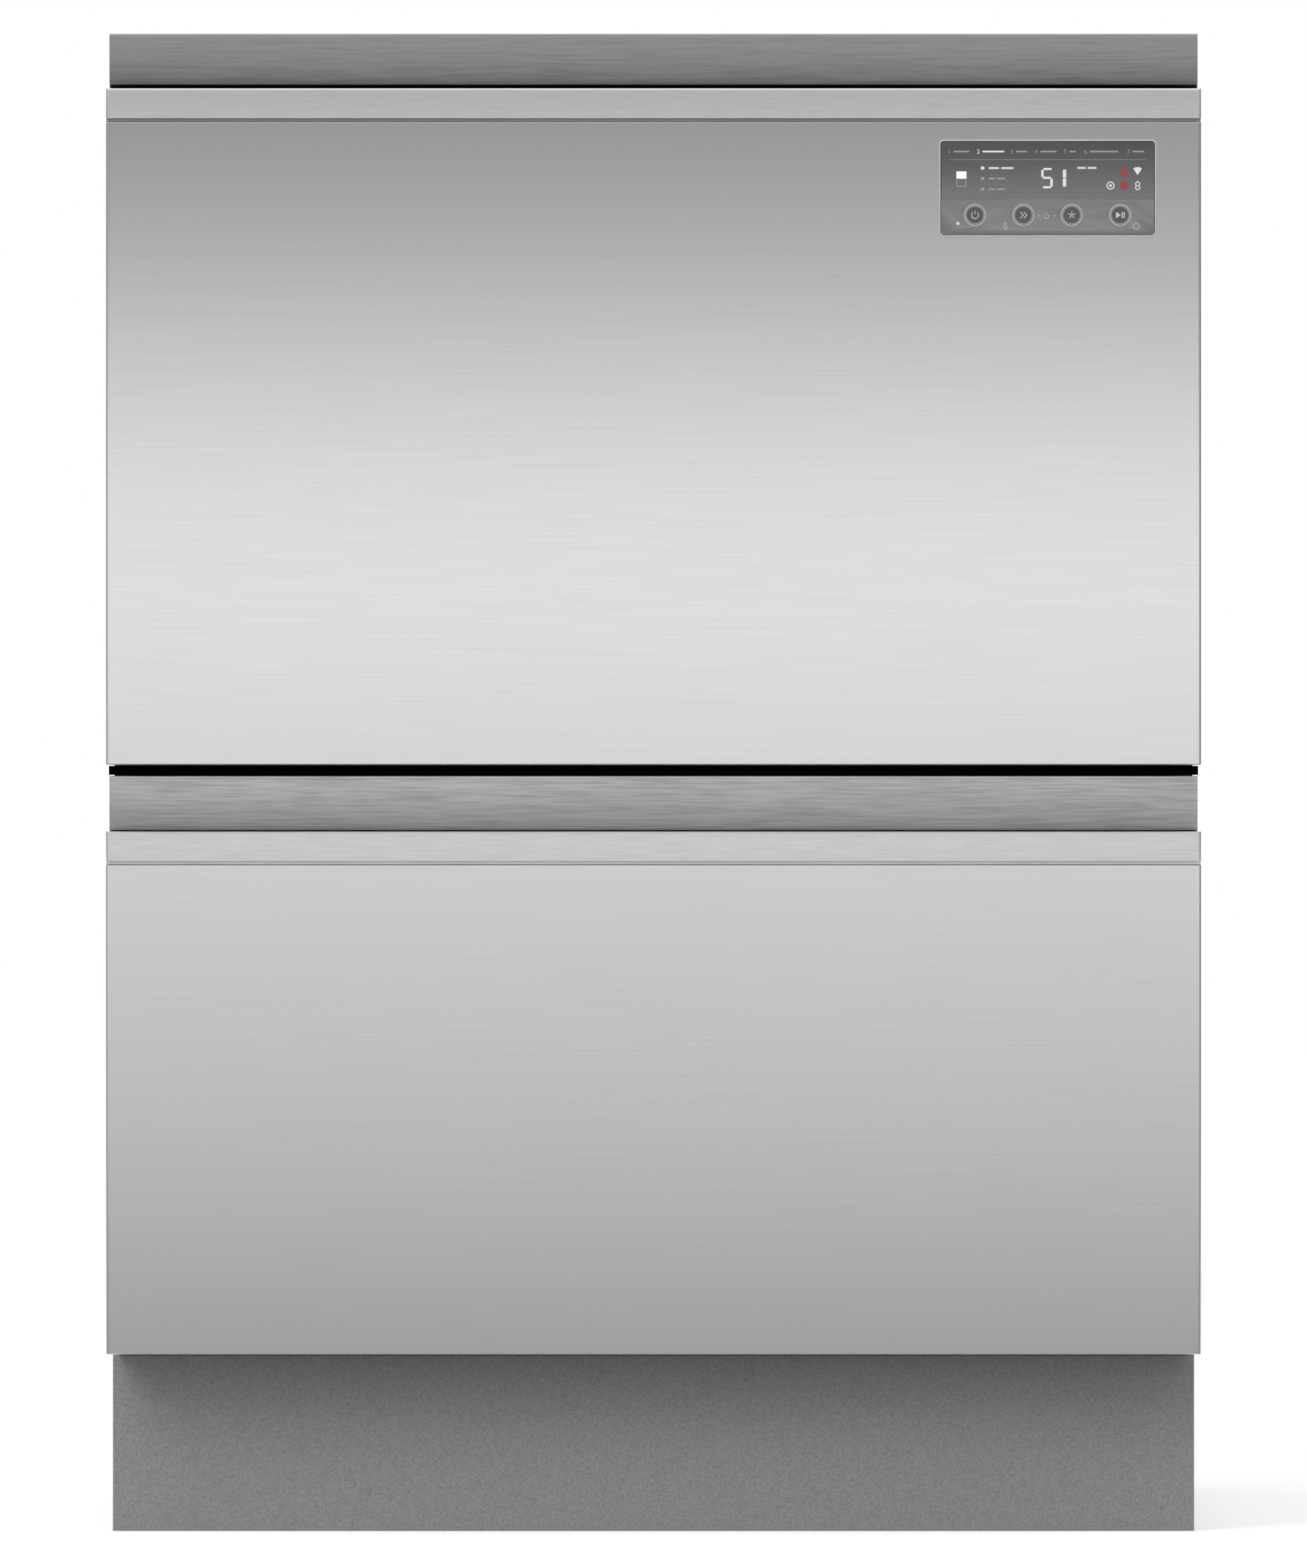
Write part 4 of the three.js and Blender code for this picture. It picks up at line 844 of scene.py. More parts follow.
def icon(name, x, z):
    # Thin strokes let into the button's face, and filled shapes cut as thin plates
    def line(points):
        return tube([(x + u, iconPlan["sunk"], z + v) for u, v in points], iconPlan["stroke"], 6) + (2,)

    def spoke(angle, start, end):
        return line([(r * math.sin(angle), r * math.cos(angle)) for r in (start, end)])

    if name == "power":
        a = np.linspace(0.12, 0.88, 16) * turn
        return [line(np.stack([1.9 * np.sin(a), 1.9 * np.cos(a)], -1)), spoke(0, 0.5, 2.3)]
    if name == "programme":
        return [line(bent([(s - 0.8, 1.8), (s + 0.9, 0), (s - 0.8, -1.8)], 0.2)) for s in (-0.9, 1.0)]
    if name == "option":
        return [spoke(a, 0.25, 2.1) for a in np.arange(5) * turn / 5]
    shapes = [[(-2.3, -1.8), (0.4, 0), (-2.3, 1.8)]]
    shapes += [[(a, -1.7), (a + 0.6, -1.7), (a + 0.6, 1.7), (a, 1.7)] for a in (0.8, 1.9)]
    return [plate(np.array(shape) + (x, z), -iconPlan["proud"], 0.2, 2) for shape in shapes]


def button(name):
    # Turned about Y: a dished face inside a raised ring, a flange behind the strip, and a stem
    low, high = box(name + "_button")
    x, y0, z = (low[0] + high[0]) / 2, low[1], (low[2] + high[2]) / 2
    profile = [(4.6, 0.22), (4.66, 0.06), (4.74, 0), (4.88, 0), (4.98, 0.1), (5.0, 0.3), (5.0, 3.5),
               (6.4, 3.5), (6.4, 4.5), (2.0, 4.5), (2.0, high[1] - y0)]
    cap = turned(profile, (x, y0, z), 1, 48)
    face = turned([(4.55, iconPlan["face"]), (4.55, 0.6)], (x, y0, z), 1, 40) + (1,)
    makePiece(name + "_button_cap", name + "_button_body",
              [cap, face] + onFace(icon(name, x, z), y0 + iconPlan["face"]),
              ["buttonRing", "buttonFace", "iconMark"], name + "_button")
    return x, z


def buttonRings(places):
    # A flat raised ring on the strip around each button
    y = box("button_strip")[0][1]
    profile = [(5.2, 0.4), (5.2, -0.12), (5.3, -0.2), (5.95, -0.2), (6.1, -0.08), (6.1, 0.4)]
    makePiece("button_rings", "upper_drawer",
              [turned(profile, (x, y, z), 1, 48, True) for x, z in places], ["buttonRing"])


def displayBoard():
    low, high = box("display_board")
    parts = [softBlock(low, high, 1, 0.1, 1)]
    for k in range(boardPlan["chips"]):
        x, y, z = low[0] + boardPlan["first"] + boardPlan["step"] * k, high[1], low[2]
        parts.append(softBlock((x, y - 0.1, z + boardPlan["low"]),
                               (x + boardPlan["width"], y + boardPlan["thick"], z + boardPlan["high"]),
                               0.4, 0.2, 1) + (1,))
    makePiece("display_circuit", "upper_drawer", parts, ["boardGreen", "chipBlack"],
              "display_board")


plates()
displayMarks()
fieldMarks()
buttonRings([button(name) for name in ("power", "programme", "option", "start")])
displayBoard()
print("control panel made")


# Cabinet

toeKickPlan = {"sheet": 1.5, "bend": 2.2, "hem": 2.5, "hemProud": 0.3, "wider": 1.7, "foot": 0.2}
screwPlan = {"head": 4.2, "flange": 5.6, "height": 2.2, "sides": (120, 420, 790), "inset": 7}
beadPlan = {"sides": (300, 470, 700), "rear": (-200, 0, 200), "rearSpan": (170, 760), "top": (-180, 180)}
trimPlan = {"foot": 99, "lap": 7, "proud": 0.4}
# the near-black sheet in the drawer gap is painted shadow
gapShadowPlan = {"half": 298.4, "ahead": 5.5}
rearDrop = 0.6  # the rear sheet lies this far in, so that its screws and beads end level with the cabinet
grommetPlaces = ((135, 112, 16), (75, 112, 16), (-195, 112, 9))


def toeKick():
    # A folded section: a hem at the bottom, an upright face, a bend at the top and a return
    (x0, y0, _), (x1, y1, z1) = box("toe_kick")
    sheet, bend, hem, proud, wider, z0 = toeKickPlan.values()
    a = quarter(6)

    def fold(radius):
        return np.stack([y0 + proud + bend - radius * np.cos(a), z1 - bend + radius * np.sin(a)], -1)

    section = np.concatenate([
        [(y0 + sheet + proud, z0 + 0.3), (y0 + sheet, z0), (y0 + 0.4, z0), (y0, z0 + 0.4),
         (y0, z0 + hem - 0.3), (y0 + proud, z0 + hem)],
        fold(bend), [(y1, z1), (y1, z1 - sheet)], fold(bend - sheet)[::-1],
    ])
    makePiece("plinth_plate", "cabinet", [sectionAlongX(section, x0 - wider, x1 + wider)],
              ["plinth"], "toe_kick", 30)


def hexScrew(place, axis, out):
    # A hexagon head on a flange, standing out along an axis
    head, flange, height = (screwPlan[k] for k in ("head", "flange", "height"))
    base = turned([(flange, -0.3), (flange, out * 0.5), (flange * 0.8, out * 0.7)], place, axis, 20)
    hexagon = turned([(head, 0), (head, out * height * 0.85), (head * 0.88, out * height)], place, axis, 6)
    return [base, hexagon]


def bead(low, high, axis, out=1):
    # A pressed stiffening bead with round ends: inset = run (1 - cos t), height = depth sin t
    rect = faceRect(low, high, axis)
    thin = min(rect[1] - rect[0], rect[3] - rect[2])
    base, top = (low[axis], high[axis]) if out > 0 else (high[axis], low[axis])
    t = quarter(6)
    return loft([insetRing(rect, i, 0.49 * thin - i, base + (top - base) * s, axis, 6)
                 for i, s in zip(0.3 * thin * (1 - np.cos(t)), np.sin(t))])


def sideSheet(node, side):
    # Beads and screws on a side sheet, and the black trim pushed on to its front edge
    (x0, y0, _), (x1, y1, z1) = box(node)
    face = x0 if side < 0 else x1
    near, far = sorted((face - side * 0.3, face + side * 0.9))
    beads = [bead((near, y0 + 50, z - 6), (far, y1 - 60, z + 6), 0, side) for z in beadPlan["sides"]]
    screws = [hexScrew((face, y1 - screwPlan["inset"], z), 0, side) for z in screwPlan["sides"]]
    foot, lap, proud = (trimPlan[k] for k in ("foot", "lap", "proud"))
    outer = sorted((face - side * 1, face + side * 0.5))
    trims = [softBlock((outer[0], y0 - proud, foot), (outer[1], y0 + lap, z1 - 1), 0.6, 0.3)]
    ends = [foot]
    for drawer in ("lower", "upper"):
        low, high = box(drawer + "_left_outer_rail")
        screws += [hexScrew((face, y, (low[2] + high[2]) / 2), 0, side)
                   for y in (low[1] + 30, (low[1] + high[1]) / 2, high[1] - 30)]
        ends += [low[2] - 2, high[2] + 2]
    ends.append(z1 - 1)
    trims += [softBlock((x0 + 0.1, y0 - proud, a), (x1 - 0.1, y0 + lap - 0.5, b), 0.6, 0.3)
              for a, b in zip(ends[::2], ends[1::2])]
    return beads, screws, trims


def sheetMetal():
    for node in ("left_side_panel", "right_side_panel", "top_panel", "mid_shelf"):
        eased(node, "cabinet", "galvanised", 0.25)
    eased("rear_panel", "cabinet", "galvanised", 0.1, rearDrop)
    sides = zip(sideSheet("left_side_panel", -1), sideSheet("right_side_panel", 1))
    beads, screws, trims = (left + right for left, right in sides)
    (x0, y0, z0), (x1, y1, z1) = box("rear_panel")
    y1 -= rearDrop
    bottom, top = beadPlan["rearSpan"]
    beads += [bead((x - 7, y1 - 0.3, bottom), (x + 7, y1 + rearDrop - 0.05, top), 1)
              for x in beadPlan["rear"]]
    screws += [hexScrew((x, y1, z), 1, rearDrop / screwPlan["height"])
               for x in (x0 + 6, x1 - 6) for z in np.linspace(z0 + 30, z1 - 30, 5)]
    (x0, y0, _), (x1, y1, z1) = box("top_panel")
    beads += [bead((x - 8, y0 + 70, z1 - 0.3), (x + 8, y1 - 70, z1 + 0.8), 2) for x in beadPlan["top"]]
    screws += [hexScrew((x, y, z1), 2, 1) for x in np.linspace(x0 + 20, x1 - 20, 4) for y in (y0 + 8, y1 - 8)]
    makePiece("edge_trims", "cabinet", trims, ["blackPlastic"])
    # a near-black matt sheet across the cabinet's front, in the gap between the two drawers: painted shadow
    # that stands in for the darkness deep in the gap
    y0 = box("right_side_panel")[0][1]
    low, high = box("lower_grip_band")[1][2] + 0.5, box("upper_front_panel")[0][2] - 0.4
    half = gapShadowPlan["half"]
    gapShadowSheet = softBlock((-half, y0 - gapShadowPlan["ahead"], low), (half, y0 + 0.1, high), 0.4, 0.2)
    makePiece("drawer_gap_shadow_sheet", "cabinet", [gapShadowSheet], ["gapShadowBlack"])
    makePiece("pressed_beads", "cabinet", beads, ["galvanised"])
    makePiece("cabinet_screws", "cabinet", sum(screws, []), ["screwSteel"], sharp=25)


def grommets():
    # A rubber ring in each hose and cord hole: a grooved section turned about Y
    y1 = box("rear_panel")[1][1]
    parts = []
    for x, z, radius in grommetPlaces:
        hole, lip = radius - 0.05, radius - 3
        profile = [(hole, -2.5), (lip, -2.2), (lip - 0.4, -0.6), (lip, -0.02), (hole, -0.02)]
        parts.append(turned(profile, (x, y1, z), 1, 32, True))
    makePiece("hose_grommets", "cabinet", parts, ["sealRubber"])


def thread(start, stop, step, root, crest):
    # A screw thread's profile: the radius steps out and in
    return [(crest if k % 2 else root, height) for k, height in enumerate(np.arange(start, stop, step))]


def levellingFoot(name):
    # A turned pad with grips round its rim, a nut and a screw
    (x0, y0, _), (x1, y1, z1) = box(name + "_foot")
    x, y = (x0 + x1) / 2, (y0 + y1) / 2
    profile = [(19, 0), (20, 0.8), (20, 4.4), (19.2, 5.2), (9.4, 7.8), (5, 8), (4.6, 12),
               *thread(13, z1 - 1, 1, 4.4, 5.0), (4.2, z1)]
    parts = [turned(profile, (x, y, 0), 2, 24)]
    for a in np.arange(12) * turn / 12:
        u, v = x + 18.6 * math.cos(a), y + 18.6 * math.sin(a)
        parts.append(softBlock((u - 0.9, v - 0.9, 0.9), (u + 0.9, v + 0.9, 4.6), 0.4, 0.2))
    nut = turned([(8, 8), (8, 12.6), (7.4, 13)], (x, y, 0), 2, 6) + (1,)
    makePiece(name + "_foot_screw_pad", name + "_foot_body", parts + [nut],
              ["blackPlastic", "screwSteel"], name + "_foot", 30)


def services():
    # Control module: a ribbed box with a row of plugs
    (x0, y0, z0), (x1, y1, z1) = box("control_module")
    plug = y0 + 8
    ribs = [softBlock((x, plug + 4, z1 - 1), (x + 3, y1 - 4, z1), 1.2, 0.4)
            for x in np.arange(x0 + 8, x1 - 8, 12)]
    plugs = [softBlock((x, y0, z0 + 6), (x + 21, plug + 1, z0 + 18), 1, 0.4)
             for x in np.arange(x0 + 20, x1 - 40, 24)]
    makePiece("control_module_case", "cabinet",
              [softBlock((x0, plug, z0), (x1, y1, z1), 3, 1.5)] + ribs + finished(plugs),
              ["serviceWhite", "blackPlastic"], "control_module")
    # Inlet valve: a body, a threaded port turned about Y, and a coil turned about Z
    (x0, y0, z0), (x1, y1, z1) = box("inlet_valve")
    x, z, port = (x0 + x1) / 2, z0 + 18, y1 - 24
    profile = [(11, port - 1), (11.5, port + 3.5), *thread(port + 4, y1 - 1.2, 0.9, 12.3, 13.0),
               (12, y1), (10, y1), (9.6, port + 3)]
    coil = turned([(12.2, z - 1), (13, z), (13, z1 - 1), (12, z1)], (x, port - 20, 0), 2, 32)
    block = softBlock((x0, y0, z0), (x1, port, z0 + 30), 4, 1.5)
    makePiece("inlet_valve_body", "cabinet",
              [block, turned(profile, (x, 0, z), 1, 32), coil + (1,)],
              ["serviceWhite", "blackPlastic"], "inlet_valve", 25)


toeKick()
sheetMetal()
grommets()
services()
eased("base_tray", "cabinet", "baseTray", 0.6)
for name in ("front_left", "front_right", "rear_left", "rear_right"):
    levellingFoot(name)
print("cabinet made")


# Tubs and wash parts

tubPlan = {"wall": 3, "flange": 5, "corner": 35, "floorFillet": 16, "sump": 92, "sumpDrop": 12, "floor": 4,
           "shaftHole": 12, "steps": 12}
dispenserPlan = {"half": 70, "down": 13, "height": 52, "depth": 12, "doseHeight": 34, "rinsePlace": 42}


def tubRing(drawer, inset, z):
    # The tub's plan outline, drawn in by a distance from its outer wall
    (_, y0, _), (x1, y1, _) = box(drawer + "_tub")
    return insetRing((-x1, x1, y0, y1), tubPlan["flange"] + inset, max(tubPlan["corner"] - inset, 4), z, 2,
                     tubPlan["steps"])


def sumpRing(drawer, radius, z):
    # A circle with as many points as the tub's outline, which starts at the same side
    low, high = box(drawer + "_tub")
    count = 4 * (tubPlan["steps"] + 1)
    angle = (np.arange(count) + 0.5) * turn / count - turn / 4
    y = (low[1] + high[1]) / 2 + radius * np.sin(angle)
    return stand(np.stack([radius * np.cos(angle), y], -1), z, 2)


def washTub(drawer):
    # One closed skin: up the outside, over the rolled flange, down the inside, across the floor and the sump
    low, high = box(drawer + "_tub")
    bottom, rim = low[2], high[2]
    wall, flange, fillet = tubPlan["wall"], tubPlan["flange"], tubPlan["floorFillet"]
    sump, hole = tubPlan["sump"], tubPlan["shaftHole"]
    under = bottom + tubPlan["sumpDrop"]
    floor, base, inner = under + tubPlan["floor"], bottom + wall, fillet - 2
    outside = [(fillet * (1 - math.sin(t)), under + fillet * (1 - math.cos(t))) for t in quarter(6)]
    lip = [(inset, rim - down) for inset, down in (
        (0, 3.2), (0.4 - flange, 3), (-flange, 2.6), (-flange, 0.9), (0.7 - flange, 0), (wall - 1.4, 0),
        (wall - 0.3, 0.4), (wall, 1.4), (wall, 9), (wall + 0.7, 10))]
    inside = [(wall + 0.7 + inner * (1 - math.cos(t)), floor + inner * (1 - math.sin(t))) for t in quarter(6)]
    below = [(hole, bottom), (sump + 1, bottom), (sump + wall, bottom + 2), (sump + wall, under)]
    within = [(sump + 5, floor - 0.4), (sump + 1.4, floor - 1.6), (sump, floor - 4), (sump - 1, base + 4),
              (sump - 6, base + 0.6), (hole + 4, base), (hole, base)]
    rings = [make(drawer, size, z) for make, rows in ((sumpRing, below), (tubRing, outside + lip + inside),
                                                      (sumpRing, within)) for size, z in rows]
    drawerPiece(drawer, "tub_moulding", [loft(rings, True)], ["tubPlastic"], "tub", 50)


def dispenser(drawer):
    # The housing's outline steps in to the powder cup, whose floor closes the skin; a rinse-aid cap beside it
    (x0, y0, z0), (x1, y1, z1) = box(drawer + "_dispenser_lid")
    top = box(drawer + "_tub")[1][2] - dispenserPlan["down"]
    bottom, front, half = top - dispenserPlan["height"], y0 - 0.3, dispenserPlan["half"]
    middle, dose = (bottom + top) / 2, dispenserPlan["doseHeight"] / 2
    outer = [(0, -dispenserPlan["depth"] - 0.8), (0, -3), (0.9, -0.9), (3, 0)]
    cup = [(-0.6, 0), (0, -0.6), (0.6, -10), (2, -11.9)]
    rings = [insetRing((-half, half, bottom, top), inset, 8 - inset, front + y, 1) for inset, y in outer]
    mouth = (x0 + 4, x1 - 4, middle - dose, middle + dose)
    rings += [insetRing(mouth, inset, 5, front + y, 1) for inset, y in cup]
    x = dispenserPlan["rinsePlace"]
    knob = turned([(15, -1), (15, 1.2), (14.4, 2), (12, 2.2), (11.6, 1.6)], (x, front, middle), 1, 40)
    grip = softBlock((x - 10, front + 1, middle - 2), (x + 10, front + 4, middle + 2), 1.8, 0.8, 1)
    drawerPiece(drawer, "dispenser_housing", [loft(rings)] + finished([knob, grip]),
                ["housingPlastic", "sprayGrey"])
    # the flap: a crowned plate, a thumb tab on its free edge and two hinge knuckles
    third = (x1 - x0) / 3
    parts = [softBlock((x0, y0, z0), (x1, y0 + 3, z1), 4, 1, 1),
             softBlock((x0 + third, y0 + 2, z1 - 4), (x1 - third, y1, z1 - 0.3), 1.5, 0.7, 1),
             softBlock((x0 + 8, y0 + 2.5, z0 + 8), (x1 - 8, y0 + 3.5, z1 - 9), 3, 0.5, 1)]
    parts += [tube([(x, y0 + 1.6, z0 + 1.6), (x + 8, y0 + 1.6, z0 + 1.6)], 1.55, 12)
              for x in (x0 + 8, x1 - 16)]
    drawerPiece(drawer, "dispenser_flap", parts, ["lidPlastic"], "dispenser_lid",
                body="dispenser_lid_body")


def washMotor(drawer):
    # Turned: a finned casing whose radius steps in and out, a flange with bolts, a neck and the shaft
    (_, y0, z0), (_, y1, z1) = box(drawer + "_wash_motor")
    y, top = (y0 + y1) / 2, box(drawer + "_tub")[0][2] - 0.3
    fin = ((62, 6), (62, 8), (59, 8.2), (59, 9.8))
    fins = [(radius, z0 + z + 4 * k) for k in range(6) for radius, z in fin]
    flange = [(radius, top - down) for radius, down in (
        (62, 3.2), (79.4, 3), (80, 2.4), (80, 0.4), (79.6, 0), (9, 0), (9, -3.5), (4, -3.5))]
    profile = [(58, z0), (60, z0 + 0.6), (60, z0 + 5.5), *fins, *flange, (4, z1 - 0.6), (3.4, z1)]
    parts = [turned(profile, (0, y, 0), 2, 56)]
    for a in np.arange(6) * turn / 6 + 0.3:
        parts += finished(hexScrew((71 * math.cos(a), y + 71 * math.sin(a), top - 3), 2, -1))
    drawerPiece(drawer, "motor_casing", parts, ["motorBlack", "screwSteel"], "wash_motor", 30)


def filterPlate(drawer):
    # Turned ring: a flat screen, a raised edge, and the collar round the shaft; six ribs lie on it
    (_, y0, z0), (_, y1, z1) = box(drawer + "_filter_plate")
    y = (y0 + y1) / 2
    profile = [(14, z0), (119.4, z0), (120, z0 + 0.5), (120, z0 + 3), (117, z0 + 3.4), (115, z0 + 2.2),
               (22, z0 + 2.2), (20, z1 - 0.4), (19.4, z1), (14, z1)]
    ribs = [tube([(r * math.cos(a), y + r * math.sin(a), z0 + 2.3) for r in (21, 116)], 1.4)
            for a in np.arange(6) * turn / 6]
    screen = turned(profile, (0, y, 0), 2, 64, True)
    drawerPiece(drawer, "filter_screen", [screen] + finished(ribs),
                ["filter", "basketGrey"], "filter_plate")


sprayPlan = {"tip": 13, "root": 21, "hub": 22, "jets": (52, 84, 118, 152, 186, 207), "jetSpread": 4}


def sprayArm(drawer):
    # An oval carried along X: half width = tip + (root - tip)(1 - |u|)^1.4, closed in round at each end
    (_, y0, z0), (x1, y1, z1) = box(drawer + "_spray_arm")
    centre, bladeLow, bladeHigh = (y0 + y1) / 2, z0 + 2.5, z1 - 2
    tip, root, hub = (sprayPlan[k] for k in ("tip", "root", "hub"))
    u = np.sin(np.linspace(-1, 1, 49) * turn / 4)
    s = np.abs(u)
    end = 1 - tip / x1
    close = np.sqrt(np.clip(1 - (np.clip(s - end, 0, None) / (1 - end)) ** 2, 0.01, 1))
    width = (tip + (root - tip) * (1 - s) ** 1.4) * close
    height = (bladeHigh - bladeLow) / 2 * (0.72 + 0.28 * (1 - s)) * np.sqrt(close)
    v = (np.arange(28) + 0.5) * turn / 28
    oval = [np.sign(wave) * np.abs(wave) ** power for wave, power in ((np.cos(v), 0.8), (np.sin(v), 0.75))]
    middle = (bladeLow + bladeHigh) / 2 - 0.6
    rings = np.stack([np.broadcast_to((x1 * u)[:, None], (49, 28)), centre + width[:, None] * oval[0],
                      middle + height[:, None] * oval[1]], -1)
    parts = [loft(rings)]
    parts.append(turned([(6, z0), (hub - 2, z0), (hub, z0 + 1.5), (hub, z1 - 2.5), (hub - 0.8, z1 - 0.8),
                         (hub - 3, z1), (8, z1), (7, z1 - 1), (3, z1 - 1)], (0, centre, 0), 2, 48))
    for side in (-1, 1):
        for k, place in enumerate(sprayPlan["jets"]):
            where = (side * place, centre + (1 if k % 2 else -1) * sprayPlan["jetSpread"],
                     middle + float(np.interp(place / x1, s[24:], height[24:])) * 0.97)
            parts.append(turned([(3.6, -1.5), (3.6, 0.2), (2.8, 0.6), (1.9, 0.6), (1.6, -0.2)], where, 2, 20))
            parts.append(turned([(1.55, -0.6), (1.55, -0.1)], where, 2, 14) + (1,))
    drawerPiece(drawer, "spray_blades", parts, ["sprayGrey", "chipBlack"], "spray_arm",
                body="spray_arm_body")


for drawer in drawers:
    washTub(drawer)
    dispenser(drawer)
    washMotor(drawer)
    filterPlate(drawer)
    sprayArm(drawer)
print("tubs and wash parts made")


# Racks and basket

rackPlan = {"wire": 1.6, "frame": 2.0, "corner": 9, "acrossCount": 13, "alongCount": 15, "foot": 33.7,
            "deep": 120, "tine": 1.5, "tineHeight": 50, "tineStep": 29,
            "tineRows": (-147.6, -110.8, -73.9, -36.9, 0, 36.9, 73.9, 110.8)}
shelfPlan = {"hinge": 248, "pivot": 1.95, "wire": 1.4, "inset": 10, "bracket": 251.5}
basketPlan = {"wall": 1.25, "bar": 1.1, "pitch": 9.6, "levels": (22, 45, 68, 90), "cells": 4}


def frameLoop(x0, x1, y0, y1, z, radius, corner):
    return tube(stand(roundedOutline(x0, x1, y0, y1, corner), z, 2), radius, 8, True)


def wireRack(drawer):
    # Hoops of wire run down one wall, across the base and up the other; level frames tie them together
    (x0, y0, z0), (x1, y1, z1) = box(drawer + "_rack")
    wire, thick = rackPlan["wire"], rackPlan["frame"]
    base, top = z0 + rackPlan["foot"], z1 - thick
    a, b, c, d = x0 + thick, x1 - thick, y0 + thick, y1 - thick

    def hoop(axis, place, near, far, low):
        path = bent([(near, top), (near, low), (far, low), (far, top)], rackPlan["corner"])
        return tube(stand(path, place, axis), wire, 6)

    parts = [hoop(0, x, c + wire, d - wire, base + wire)
             for x in np.linspace(a, b, rackPlan["alongCount"])[1:-1]]
    parts += [hoop(1, y, a + wire, b - wire, base + 2.4)
              for y in np.linspace(c, d, rackPlan["acrossCount"])[1:-1]]
    levels = [base + 6] + [(base + z1) / 2] * (z1 - base > rackPlan["deep"]) + [top]
    parts += [frameLoop(a, b, c, d, z, thick, 9) for z in levels]
    for x in (a + 2, b - 2):
        for y in (c + 2, d - 2):
            parts.append(tube([(x, y, z0 + 1), (x, y, (z0 + z1) / 2), (x, y, top)], thick * 0.95))
            parts.append(turned([(3.4, 0), (4, 0.8), (4, 5), (2.6, 6.5)], (x, y, z0), 2, 16) + (1,))
    foot, tip = base + 1.5, base + 3.5 + rackPlan["tineHeight"]
    taper = np.array([1, 1, 1, 0.5]) * rackPlan["tine"]
    lean = ((0, foot), (1.2, foot + 30), (3, tip - 0.8), (3.1, tip))
    parts += [tube([(x, y + back, z) for back, z in lean], taper, 6)
              for x in rackPlan["tineRows"] for y in np.arange(c + 32, d - 20, rackPlan["tineStep"])]
    shelf = box(drawer + "_cup_rack")
    hinge = (shelf[0][2] + shelf[1][2]) / 2
    for low in (shelf[0][1] - 1, shelf[1][1] + 1 - 9):
        ring = turned(sleeve(2.45, 4.4, 0, 9), (shelfPlan["hinge"], low, hinge), 1, 20, True)
        bracket = softBlock((shelfPlan["bracket"], low + 1, hinge - 4), (b - 0.5, low + 8, hinge + 4), 1, 0.6)
        parts += finished([ring, bracket])
    drawerPiece(drawer, "wire_rack", parts, ["wireCoat", "basketGrey"], "rack", 60)


def cupShelf(drawer):
    # Wires across from the pivot wire to the free edge, tied by long wires
    (x0, y0, z0), (_, y1, z1) = box(drawer + "_cup_rack")
    z, hinge, wire, inset = (z0 + z1) / 2, shelfPlan["hinge"], shelfPlan["wire"], shelfPlan["inset"]
    middle, near, far = (y0 + y1) / 2, y0 + inset, y1 - inset
    parts = [tube([(hinge, y0, z), (hinge, middle, z), (hinge, y1, z)], shelfPlan["pivot"], 12)]
    parts += [tube([(x, near, z), (x, middle, z), (x, far, z)], wire, 6)
              for x in np.linspace(x0 + 1.5, hinge - 12, 4)]
    parts += [tube([(x0 + 0.4, y, z), ((x0 + hinge) / 2, y, z + 0.3), (hinge, y, z)], wire, 6)
              for y in np.linspace(near + 1.6, far - 1.6, 12)]
    drawerPiece(drawer, "cup_shelf_wires", parts, ["wireCoat"], "cup_rack", 60,
                "cup_rack_body")


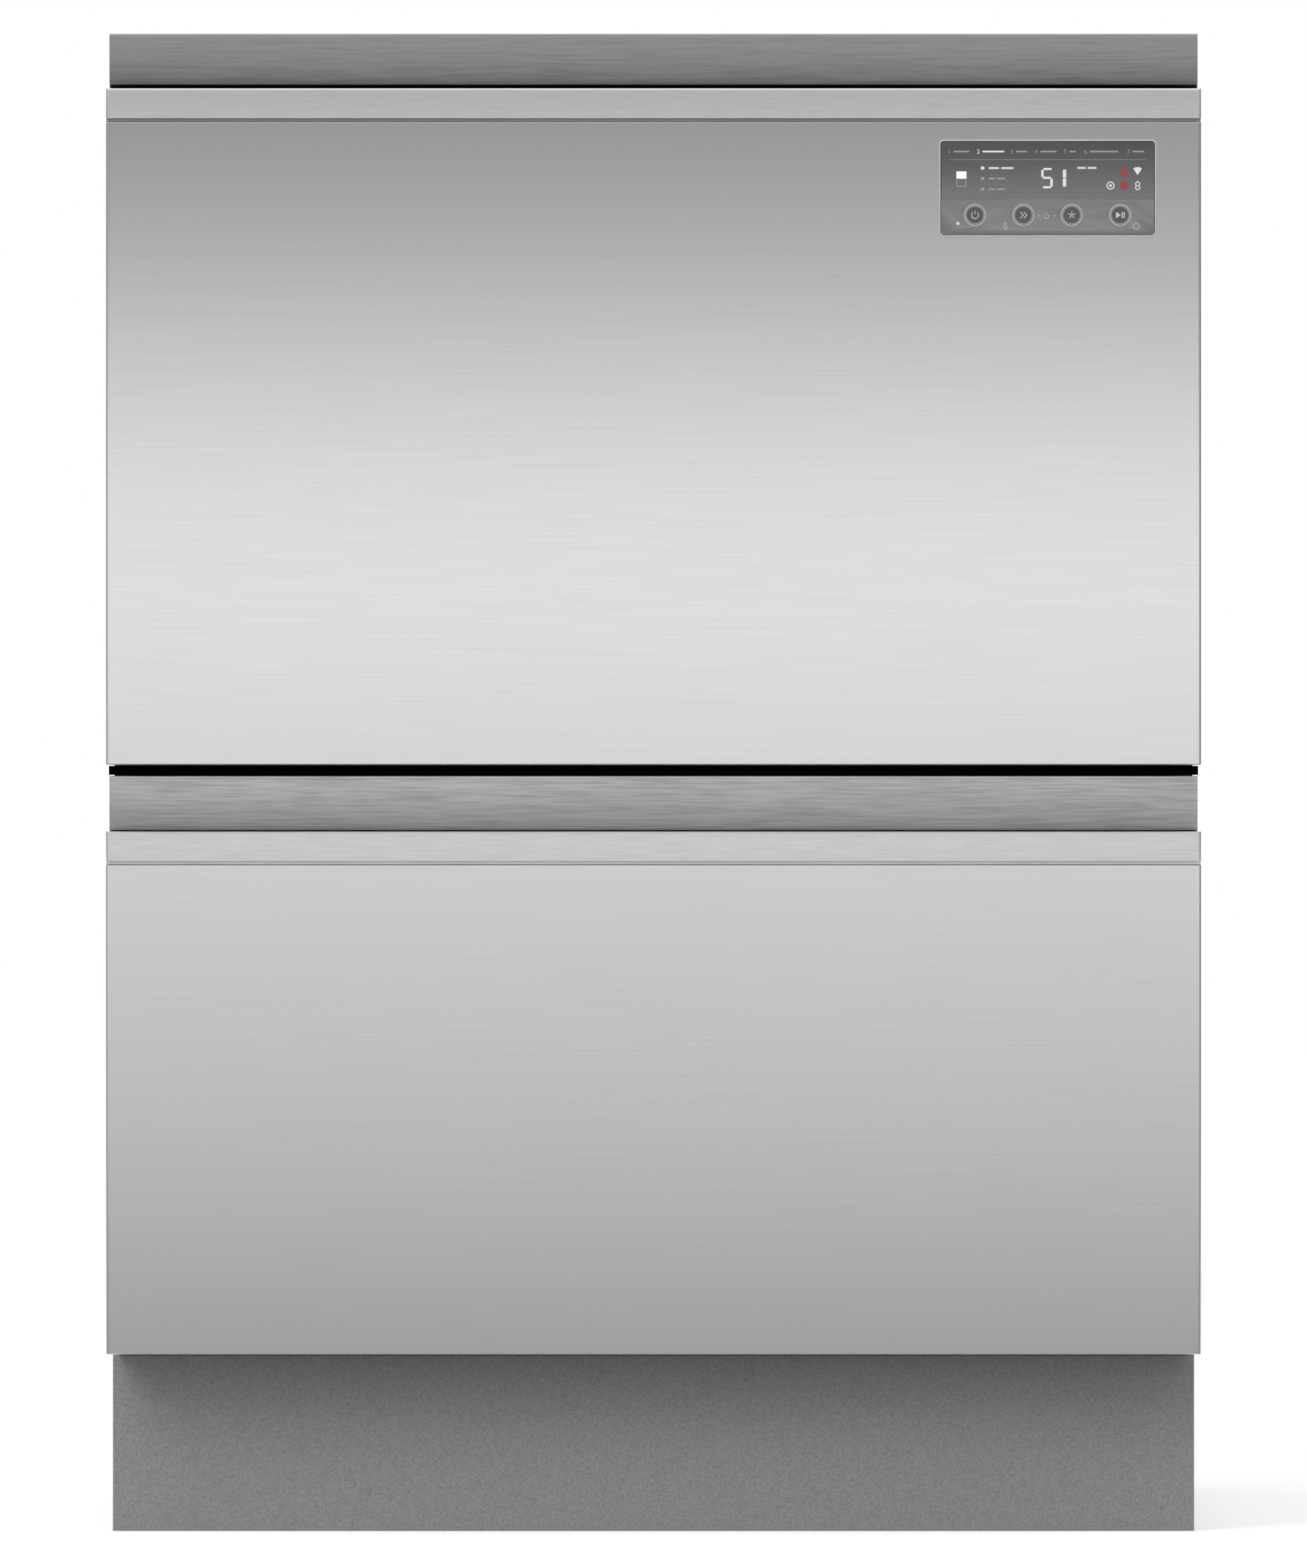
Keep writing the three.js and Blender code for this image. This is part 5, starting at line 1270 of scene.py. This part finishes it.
def cutleryBasket(drawer):
    # Upright and level bars make open walls round a solid floor and three dividers
    (x0, y0, z0), (x1, y1, z1) = box(drawer + "_cutlery_basket")
    wall, pitch = basketPlan["wall"], basketPlan["pitch"]
    a, b, c, d = x0 + wall, x1 - wall, y0 + wall, y1 - wall
    parts = [softBlock((x0, y0, z0), (x1, y1, z0 + 2.5), 6, 0.8)]
    levels = [(z0 + 4, 1.6)] + [(z0 + z, 1) for z in basketPlan["levels"]] + [(z1 - 1.6, 1.6)]
    parts += [frameLoop(a, b, c, d, z, radius, 5) for z, radius in levels]
    places = [(x, y) for x in np.arange(a + 6, b - 4, pitch) for y in (c, d)]
    places += [(x, y) for y in np.arange(c + 6, d - 4, pitch) for x in (a, b)]
    parts += [tube([(x, y, z0 + 2), (x, y, z1 - 2)], basketPlan["bar"], 4) for x, y in places]
    parts += [softBlock((a, y - 0.9, z0 + 2), (b, y + 0.9, z1 - 14), 0.5, 0.4)
              for y in np.linspace(c, d, basketPlan["cells"] + 1)[1:-1]]
    drawerPiece(drawer, "basket_lattice", parts, ["basketGrey"], "cutlery_basket", 60)


# Lids, seals and runners

def lidSeal(drawer):
    # A hollow-lipped section carried round the tub's outline: each (inset, height) is one ring
    (_, _, z0), (_, _, z1) = box(drawer + "_lid_seal")
    out = -4.7
    section = [(0, z1), (0, z1 - 2.4), (1.2, z0 + 1.6), (3, z0 + 0.3), (5, z0), (7, z0 + 0.6),
               (8.6, z0 + 2.4), (10, z0 + 2.8), (13, z0 + 1.2), (13, z0 + 2.4), (10.4, z1 - 1.2), (9.6, z1)]
    rings = [tubRing(drawer, out + inset, z) for inset, z in section]
    drawerPiece(drawer, "lip_seal", [loft(rings, True)], ["sealRubber"], "lid_seal", 35,
                "lid_body")


for drawer in drawers:
    wireRack(drawer)
    cupShelf(drawer)
    cutleryBasket(drawer)
    lidSeal(drawer)
    eased(drawer + "_lid", drawer + "_lid_body", "lidPlastic", 0.7)
    eased(drawer + "_lid_actuator", "cabinet", "baseTray", 1.2)
    eased(drawer + "_tub_cradle", drawer + "_drawer", "runnerSteel", 0.35)
    for side in ("left", "right"):
        eased(f"{drawer}_{side}_outer_rail", "cabinet", "runnerSteel", 0.35)
        eased(f"{drawer}_{side}_middle_rail", drawer + "_middle_rails", "runnerSteel", 0.35)
print("racks, lids and runners made")
